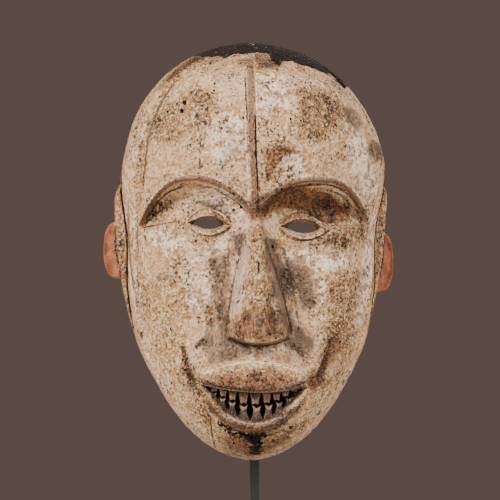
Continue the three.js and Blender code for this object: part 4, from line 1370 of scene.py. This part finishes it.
def ear_share(u, depth, h):
    """The fronts of the ears, out beyond the strips at the sides."""
    on_ear = sum((np.abs(h - height) < tall / 2 - 0.2) & (u * side > 80) for side, height, tall, _ in EARS)
    past_strip = np.abs(u - lean(h)) - egg_half_width(h) - FLANGE_PROUD
    return smooth(0.1, 1, past_strip) * on_ear * smooth(EAR_FRONT - 15, EAR_FRONT - 8, depth)


def strip_share(u, h):
    """The rough strips beside the face."""
    low, high = FLANGE_SPAN
    ends = smooth(low - 2, low + 2, h) * smooth(high + 2, high - 4, h)
    return smooth(-0.6, 0.4, np.abs(u - lean(h)) - face_half_width(h)) * ends


def crest_share(points):
    """The crests of both brows and of the ridge between them."""
    routes = [brow_route(LEFT_BROW), brow_route(RIGHT_BROW)]
    left, right = (band(route, BROW_HALF_WIDTH, points, 0.4, 0.03)[0] for route in routes)
    ridge, _ = band(smooth_route(RIDGE), RIDGE_HALF_WIDTH, points, 0.4, 0.02)
    return np.maximum.reduce([left, right, 0.9 * ridge])


def paint_maps(mesh):
    """The maps that the material reads: where wood shows, stains, dirt, lines, ears and the hollow, and
    where shade and highlights are painted.
    """
    places = vertex_places(mesh)
    u, depth, h = from_frame(places).T
    points = np.column_stack((u, h))
    below = face_depth(u, h) - depth
    in_front = smooth(*FRONT_DEPTHS, depth) * (edge_share(u, h) < 1.02)
    hollow = smooth(*HOLLOW_BEGINS, below) * within_hollow(u, h)
    rim = smooth(*RIM_DEPTHS, depth) * smooth(MASK_HEIGHT, MASK_HEIGHT - 2, h)
    in_mouth = depth_inside(between(OPENING_FLOOR, OPENING_ROOF, 50), points, 12) > -0.6
    in_mouth &= below < OPENING_DEPTH + 3
    terracotta = ear_share(u, depth, h)
    strip = strip_share(u, h) * (1 - np.clip(terracotta, 0, 1))
    side_wall = smooth(*SIDE_WALL_DEPTHS, depth) * (1 - rim)
    side_groove = groove_share(LEFT_GROOVE, points) * smooth(*STAINED_GROOVE, h)
    creases = [
        strength * smooth(starts, full, hollowness(mesh, places, rounds))
        for rounds, starts, full, strength in CREASE_DIRT_AND_SHADE
    ]
    values = {
        "bare": np.maximum.reduce([
            zones(BARE_WOOD, points) * in_front, STRIP_WEAR * strip, SIDE_WALL_WEAR * side_wall,
        ]),
        "ochre": np.maximum(zones(OCHRE, points) * in_front, GROOVE_STAIN * side_groove),
        "grey": zones(GREY_STAINS_AND_SHADE, points) * in_front,
        "pits": smooth(0.2, 0.8, pit_relief(points)) * in_front,
        "fresh": zones(FRESH_CLAY, points) * in_front,
        "black": np.maximum(zones(BLACKENED, points) * in_front, hair_share(u, depth, h) * (1 - hollow)),
        # Painted shade, with dirt, in the creases of the carving
        "crease": sum(creases),
        # Convex edges: lightened by the material, partly wear and partly painted highlight
        "edge": smooth(*EDGE_WEAR_AND_HIGHLIGHT, -hollowness(mesh, places, CREASE_DIRT_AND_SHADE[0][0])),
        # Dark lines are partly painted shade, pale lines partly painted highlight
        "dark_line": painted(DARK_LINES_AND_SHADE, points) * in_front,
        "pale_line": painted(PALE_LINES_AND_HIGHLIGHTS, points) * in_front,
        "crest": crest_share(points) * in_front,
        "streaked": zones(STREAKED, points) * in_front,
        "terracotta": terracotta,
        "hollow": np.maximum(hollow * ~in_mouth, RIM_WOOD * rim),
        "gloss": zones(GLOSSY, points),
        "pink": zones(PINK_CLAY, points),
        # Painted shade: darker the deeper the mouth's recess
        "deep_mouth": in_mouth * smooth(*MOUTH_SHADE_DEPTHS, below),
        "in_mouth": in_mouth,
    }
    for name, channels in MAPS.items():
        write_map(mesh, name, [values[channel] for channel in channels])


def write_map(mesh, name, channels):
    """Writes up to four channels onto the points of a mesh."""
    values = np.zeros((len(channels[0]), 4), np.float32)
    values[:, :len(channels)] = np.clip(np.stack(channels, axis=1), 0, 1)
    made = mesh.color_attributes.new(name, "FLOAT_COLOR", "POINT")
    made.data.foreach_set("color", values.ravel())


def colour(code):
    """A colour from its hex code, as light."""
    parts = [int(code[i:i + 2], 16) / 255 for i in (1, 3, 5)]
    return [p / 12.92 if p <= 0.04045 else ((p + 0.055) / 1.055) ** 2.4 for p in parts] + [1]


class Shader:
    """Builds one node material, step by step, out of its noises."""

    def __init__(self, name, noises):
        self.material = bpy.data.materials.new(name)
        self.material.use_nodes = True
        self.tree = self.material.node_tree
        self.surface = self.tree.nodes["Principled BSDF"]
        self.place = self.tree.nodes.new("ShaderNodeTexCoord").outputs["Object"]
        self.noises = {noise_name: self.noise(*kind) for noise_name, kind in noises.items()}
        self.coat = None

    def feed(self, socket, value):
        if isinstance(value, bpy.types.NodeSocket):
            self.tree.links.new(value, socket)
        else:
            socket.default_value = value

    def math(self, operation, first, second=0.0):
        node = self.tree.nodes.new("ShaderNodeMath")
        node.operation = operation
        self.feed(node.inputs[0], first)
        self.feed(node.inputs[1], second)
        return node.outputs[0]

    def add(self, *values):
        total = values[0]
        for value in values[1:]:
            total = self.math("ADD", total, value)
        return total

    def times(self, *values):
        total = values[0]
        for value in values[1:]:
            total = self.math("MULTIPLY", total, value)
        return total

    def rest(self, share):
        """What a share leaves of the whole."""
        return self.math("SUBTRACT", 1.0, share)

    def mix(self, share, first, second):
        node = self.tree.nodes.new("ShaderNodeMix")
        node.data_type = "RGBA"
        for socket, value in zip((node.inputs[0], node.inputs[6], node.inputs[7]), (share, first, second)):
            self.feed(socket, colour(value) if isinstance(value, str) else value)
        return node.outputs[2]

    def lay(self, paint, *shares):
        """Lays a colour over the coat so far, as fully as the shares let it."""
        self.coat = self.mix(self.times(*shares), self.coat, paint)

    def band(self, value, low, high):
        """0 below a range, 1 above it, and smooth within it."""
        node = self.tree.nodes.new("ShaderNodeMapRange")
        node.interpolation_type = "SMOOTHSTEP"
        self.feed(node.inputs["Value"], value)
        node.inputs["From Min"].default_value = low
        node.inputs["From Max"].default_value = high
        return node.outputs["Result"]

    def noise(self, sizes, detail, roughness, seed):
        """Noise with features of a size in millimetres, along X, Y and Z."""
        mapping = self.tree.nodes.new("ShaderNodeMapping")
        mapping.inputs["Scale"].default_value = [1 / (size * MM) for size in sizes]
        mapping.inputs["Location"].default_value = [seed, seed * 1.7, seed * 0.6]
        self.tree.links.new(self.place, mapping.inputs["Vector"])
        node = self.tree.nodes.new("ShaderNodeTexNoise")
        node.inputs["Scale"].default_value = 1
        node.inputs["Detail"].default_value = detail
        node.inputs["Roughness"].default_value = roughness
        self.tree.links.new(mapping.outputs["Vector"], node.inputs["Vector"])
        return node.outputs["Fac"]

    def centred(self, name, strength):
        """One of the noises around nothing, with a strength."""
        return self.times(self.math("SUBTRACT", self.noises[name], 0.5), strength)

    def frayed(self, value, **strengths):
        """A value, or one of the noises, made ragged by noises that each have a strength."""
        start = self.noises[value] if isinstance(value, str) else value
        return self.add(start, *[self.centred(name, strength) for name, strength in strengths.items()])

    def edge(self, value, low, high, **strengths):
        """The share of a frayed value: 0 below a range and 1 above it."""
        return self.band(self.frayed(value, **strengths), low, high)

    def read_maps(self):
        """Every channel of the maps on the mesh, by name."""
        found = {}
        for name, channels in MAPS.items():
            node = self.tree.nodes.new("ShaderNodeAttribute")
            node.attribute_name = name
            split = self.tree.nodes.new("ShaderNodeSeparateColor")
            self.tree.links.new(node.outputs["Color"], split.inputs["Color"])
            found.update(zip(channels, [*split.outputs[:3], node.outputs["Alpha"]]))
        return SimpleNamespace(**found)

    def bump(self, height):
        """A bump from a height in millimetres."""
        node = self.tree.nodes.new("ShaderNodeBump")
        node.inputs["Distance"].default_value = MM
        node.inputs["Strength"].default_value = 1
        self.feed(node.inputs["Height"], height)
        self.tree.links.new(node.outputs["Normal"], self.surface.inputs["Normal"])

    def finish(self, roughness, specular):
        self.feed(self.surface.inputs["Base Color"], self.coat)
        self.feed(self.surface.inputs["Roughness"], roughness)
        self.surface.inputs["Specular IOR Level"].default_value = specular
        return self.material


def lay_clay(s, maps):
    """The clay itself: dull and clear, thin, pink and fresh places, and a scaly look where it is worn."""
    s.coat = CLAY_DULL
    s.lay(CLAY, s.edge("mottle", 0.36, 0.6, clumps=0.4, flakes=0.3, fine=0.3, broad=0.6, patch=0.9))
    s.lay(CLAY_THIN, s.edge("patch", 0.5, 0.68, flakes=1.0, clumps=0.8), 0.5)
    s.lay(CLAY_PINK, s.edge("broad", 0.48, 0.62, clumps=0.5), 0.5)
    s.lay(CLAY_BRIGHT, s.edge(s.times(maps.fresh, 0.6), 0.25, 0.6, mottle=1.2, clumps=0.8, flakes=0.6), 0.85)
    scaly = s.math("MINIMUM", s.add(0.22, s.times(maps.bare, 0.5), s.times(maps.ochre, 0.75)), 0.8)
    s.lay(s.mix(s.edge("flakes", 0.4, 0.6, clumps=0.7, fine=0.6), CLAY_THIN, CLAY_BRIGHT), scaly)
    s.lay(CLAY_THIN, s.edge(maps.bare, 0.1, 0.62, mottle=1.2, patch=0.9, clumps=0.6, flakes=0.5), 0.8)
    s.lay(OCHRE_STAIN, s.edge(maps.ochre, 0.15, 0.95, mottle=1.2, flakes=1.0), 0.78)


def lay_bare_wood(s, maps):
    """Wood where the paint is gone, with some flecks of paint left over. Returns where it is gone."""
    wear = s.add(s.times(maps.bare, 0.8), 0.19, s.times(maps.fresh, -0.08))
    wear = s.add(wear, s.times(maps.streaked, s.centred("streaks", 2.4)))
    wear = s.frayed(wear, clumps=0.8, flakes=1.1, fine=0.5, mottle=0.8, patch=0.9)
    gone = s.band(wear, 0.58, 0.7)
    s.lay(s.mix(s.edge(wear, 0.78, 1.0, grain=0.8), WOOD_LIGHT, WOOD_DARK), gone, 0.95)
    half_worn = s.times(s.band(maps.bare, 0.1, 0.4), s.rest(s.band(maps.bare, 0.75, 0.95)))
    s.lay(CLAY, s.edge("flakes", 0.56, 0.63, clumps=0.8, fine=0.9), half_worn, 0.7)
    return gone


def lay_flecks(s, maps, worn):
    """Pale and dark flecks like sand, and smears of taupe and bright clay where the clay is fresh."""
    on_paint = s.rest(s.band(maps.bare, 0.85, 1.0))
    s.lay(CLAY_PALE, s.edge("sand", 0.52, 0.63, clumps=0.4), on_paint, s.add(0.45, s.times(worn, 0.2)))
    s.lay(WOOD_LIGHT, s.rest(s.edge("sand", 0.35, 0.46, clumps=0.4)), s.add(0.36, s.times(worn, 0.42)))
    smears = s.frayed("mottle", clumps=1.3, flakes=0.9, fine=0.5)
    smeared = s.times(s.band(maps.fresh, 0.15, 0.6), on_paint)
    s.lay(SMEAR_TAUPE, s.rest(s.band(smears, 0.28, 0.42)), smeared, 0.6)
    s.lay(CLAY_BRIGHT, s.band(smears, 0.52, 0.66), smeared, 0.6)


def lay_stains(s, maps):
    """Grey stains, some of them painted shade beside the nose and over the left lid, pink stains, and the
    taupe of the crests.
    """
    s.lay(GREY_STAIN_AND_SHADE, s.edge(maps.grey, 0.2, 1.1, clumps=1.2, mottle=1.6, flakes=0.8, patch=1.2), 0.85)
    s.lay(LIP_PINK, s.edge(maps.pink, 0.3, 0.8, mottle=0.6), 0.6)
    s.lay(CREST_TAUPE, s.edge(maps.crest, 0.3, 0.65, flakes=1.6), 0.85)


def lay_dirt(s, maps):
    """Fine cracks, dark specks, lightened edges that are partly painted highlight, painted lines, and dirt
    with painted shade in creases. Returns the shares of cracks and specks.
    """
    cracks = s.rest(s.band(s.math("ABSOLUTE", s.math("SUBTRACT", s.noises["scratches"], 0.5)), 0.004, 0.022))
    cracks = s.times(cracks, s.edge("patch", 0.46, 0.56), 0.6)
    s.lay(DIRT_AND_SHADE, cracks)
    crowded = s.add(s.noises["specks"], s.times(maps.bare, 0.07), s.times(maps.fresh, -0.05))
    specks = s.times(s.edge(crowded, 0.7, 0.79, patch=0.9), 0.85)
    s.lay(PIT_BROWN, specks)
    # Painted highlight, partly wear: convex edges lightened, except on the crests
    s.lay(CLAY_BRIGHT, s.band(maps.edge, 0.3, 0.9), s.rest(maps.crest), 0.3)
    # Pale lines: partly pale paint, partly painted highlight
    s.lay(CLAY_BRIGHT, s.edge(maps.pale_line, 0.35, 0.6, flakes=2.0), 0.65)
    # Painted shade, with dirt, in the creases
    s.lay(DIRT_AND_SHADE, s.edge(maps.crease, 0.2, 0.8, clumps=0.8, flakes=0.6), 0.85)
    # Dark lines: partly dark paint, partly painted shade
    s.lay(DIRT_AND_SHADE, s.edge(maps.dark_line, 0.35, 0.7, flakes=2.2, clumps=0.8), 0.75)
    s.lay(PIT_BROWN, s.edge(maps.pits, 0.35, 0.75, fine=0.4), 0.85)
    return cracks, specks


def lay_mouth_hair_ears_and_hollow(s, maps):
    """The teeth, paler on their edges as painted highlight, the painted shade deep in the mouth, the hair,
    the ears and the hollow. Returns the share of hair.
    """
    # Teeth are paler on their convex edges: painted highlight
    teeth_share = s.band(s.add(s.times(s.noises["fine"], 0.7), s.times(maps.edge, 0.9)), 0.4, 0.9)
    s.lay(s.mix(teeth_share, TOOTH_BROWN, TOOTH_LIGHT), maps.in_mouth)
    # Painted shade deep in the mouth
    s.lay(BLACK_BROWN, maps.deep_mouth)
    hair = s.edge(maps.black, 0.4, 0.65, clumps=1.6, mottle=1.0, fine=0.8)
    s.lay(s.mix(s.edge("flakes", 0.5, 0.64, mottle=0.5), BLACK_BROWN, RED_BROWN), hair)
    clay = s.mix(s.edge("mottle", 0.38, 0.62, fine=0.6), TERRACOTTA, TERRACOTTA_DARK)
    s.lay(clay, s.band(maps.terracotta, 0.35, 0.6))
    # The hollow is a little paler on its convex edges: partly painted highlight
    worn = s.edge(s.add(s.noises["grain"], s.times(maps.edge, 0.3)), 0.42, 0.72, mottle=0.7)
    s.lay(s.mix(worn, HOLLOW_WOOD, HOLLOW_WORN), maps.hollow)
    return hair


def clay_paint():
    """Worn clay paint over dark wood, with stains, dirt, bare places, painted shade in creases and the
    mouth, and painted highlights on edges.
    """
    s = Shader("clay_paint_on_wood", CLAY_NOISES)
    maps = s.read_maps()
    worn = s.math("MINIMUM", s.add(maps.bare, maps.ochre), 1.0)
    lay_clay(s, maps)
    paint_left = s.rest(lay_bare_wood(s, maps))
    lay_flecks(s, maps, worn)
    lay_stains(s, maps)
    cracks, specks = lay_dirt(s, maps)
    hair = lay_mouth_hair_ears_and_hollow(s, maps)
    height = s.add(
        s.times(paint_left, 0.5), s.centred("clumps", 2.0), s.centred("mottle", 2.0),
        s.times(s.centred("flakes", 2.4), s.add(0.45, maps.bare)),
        s.times(s.centred("sand", 1.1), s.add(0.4, worn)),
        s.times(specks, -0.5), s.times(cracks, -0.6), s.times(maps.streaked, s.centred("streaks", 1.6)),
    )
    smoother = s.math("MAXIMUM", s.times(maps.terracotta, 0.75), s.times(maps.gloss, 0.6))
    s.bump(s.times(height, s.rest(smoother)))
    rough = s.add(0.46, s.times(paint_left, 0.14), s.times(maps.gloss, -0.36), s.times(hair, 0.55))
    return s.finish(s.math("MAXIMUM", s.frayed(rough, flakes=0.3), 0.2), 0.3)


def black_paint():
    """Satin black paint on steel, with faint brush marks and dust."""
    s = Shader("satin_black", STEEL_NOISES)
    s.coat = s.mix(s.edge("dust", 0.45, 0.8), STAND_BLACK, STAND_DUSTY)
    s.bump(s.centred("brushed", 0.05))
    return s.finish(s.frayed(0.38, brushed=0.18, dust=0.2), 0.45)


def plain_floor():
    s = Shader("plain_floor", FLOOR_NOISES)
    s.coat = s.mix(s.noises["cloudy"], FLOOR_PALE, FLOOR_WARM)
    return s.finish(0.85, 0.5)


def finish_mask():
    mask = carve_mask()
    mesh = mask.data
    paint_maps(mesh)
    places = vertex_places(mesh) * MM
    mesh.vertices.foreach_set("co", places.astype(np.float32).ravel())
    mesh.shade_smooth()
    mesh.set_sharp_from_angle(angle=math.radians(SHARP_EDGE))
    mesh.materials.clear()
    mesh.materials.append(clay_paint())
    mesh.update()
    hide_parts("mask")
    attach(mask, "root")


def finish_stand():
    paint = black_paint()
    for name in ("stand_base", "stand_rod", "stand_crown_rest", "stand_chin_hook"):
        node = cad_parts[name]
        node.data.materials.clear()
        node.data.materials.append(paint)


def area_light(name, place, size, power, tint):
    data = bpy.data.lights.new(name, "AREA")
    data.shape = "RECTANGLE"
    data.size, data.size_y = size
    data.energy = power
    data.color = tint
    light = bpy.data.objects.new(name, data)
    light.location = place
    light.rotation_euler = (Vector(LIT_PLACE) - Vector(place)).to_track_quat("-Z", "Y").to_euler()
    bpy.context.scene.collection.objects.link(light)


def studio():
    """A pale floor, a plain dull backdrop colour and the soft lights."""
    mesh = bpy.data.meshes.new("floor")
    corners = [(x * FLOOR_REACH, y * FLOOR_REACH, 0) for x, y in ((-1, -1), (1, -1), (1, 1), (-1, 1))]
    mesh.from_pydata(corners, [], [(0, 1, 2, 3)])
    floor = bpy.data.objects.new("floor", mesh)
    bpy.context.scene.collection.objects.link(floor)
    mesh.materials.append(plain_floor())
    world = bpy.data.worlds.new("studio")
    bpy.context.scene.world = world
    world.use_nodes = True
    background = world.node_tree.nodes["Background"]
    background.inputs["Color"].default_value = colour(BACKDROP)
    background.inputs["Strength"].default_value = 1.0
    for light in LIGHTS:
        area_light(*light)


def camera():
    azimuth = math.radians(CAMERA_AZIMUTH)
    target = Vector(CAMERA_TARGET) * MM
    away = Vector((math.sin(azimuth), -math.cos(azimuth), 0))
    data = bpy.data.cameras.new("camera")
    data.sensor_width = SENSOR
    data.lens = SENSOR * CAMERA_DISTANCE / (FRAME_WIDTH * MM)
    made = bpy.data.objects.new("camera", data)
    made.location = target + away * CAMERA_DISTANCE
    made.rotation_euler = (-away).to_track_quat("-Z", "Y").to_euler()
    bpy.context.scene.collection.objects.link(made)
    bpy.context.scene.camera = made


finish_mask()
finish_stand()
studio()
camera()

bpy.context.view_layer.update()
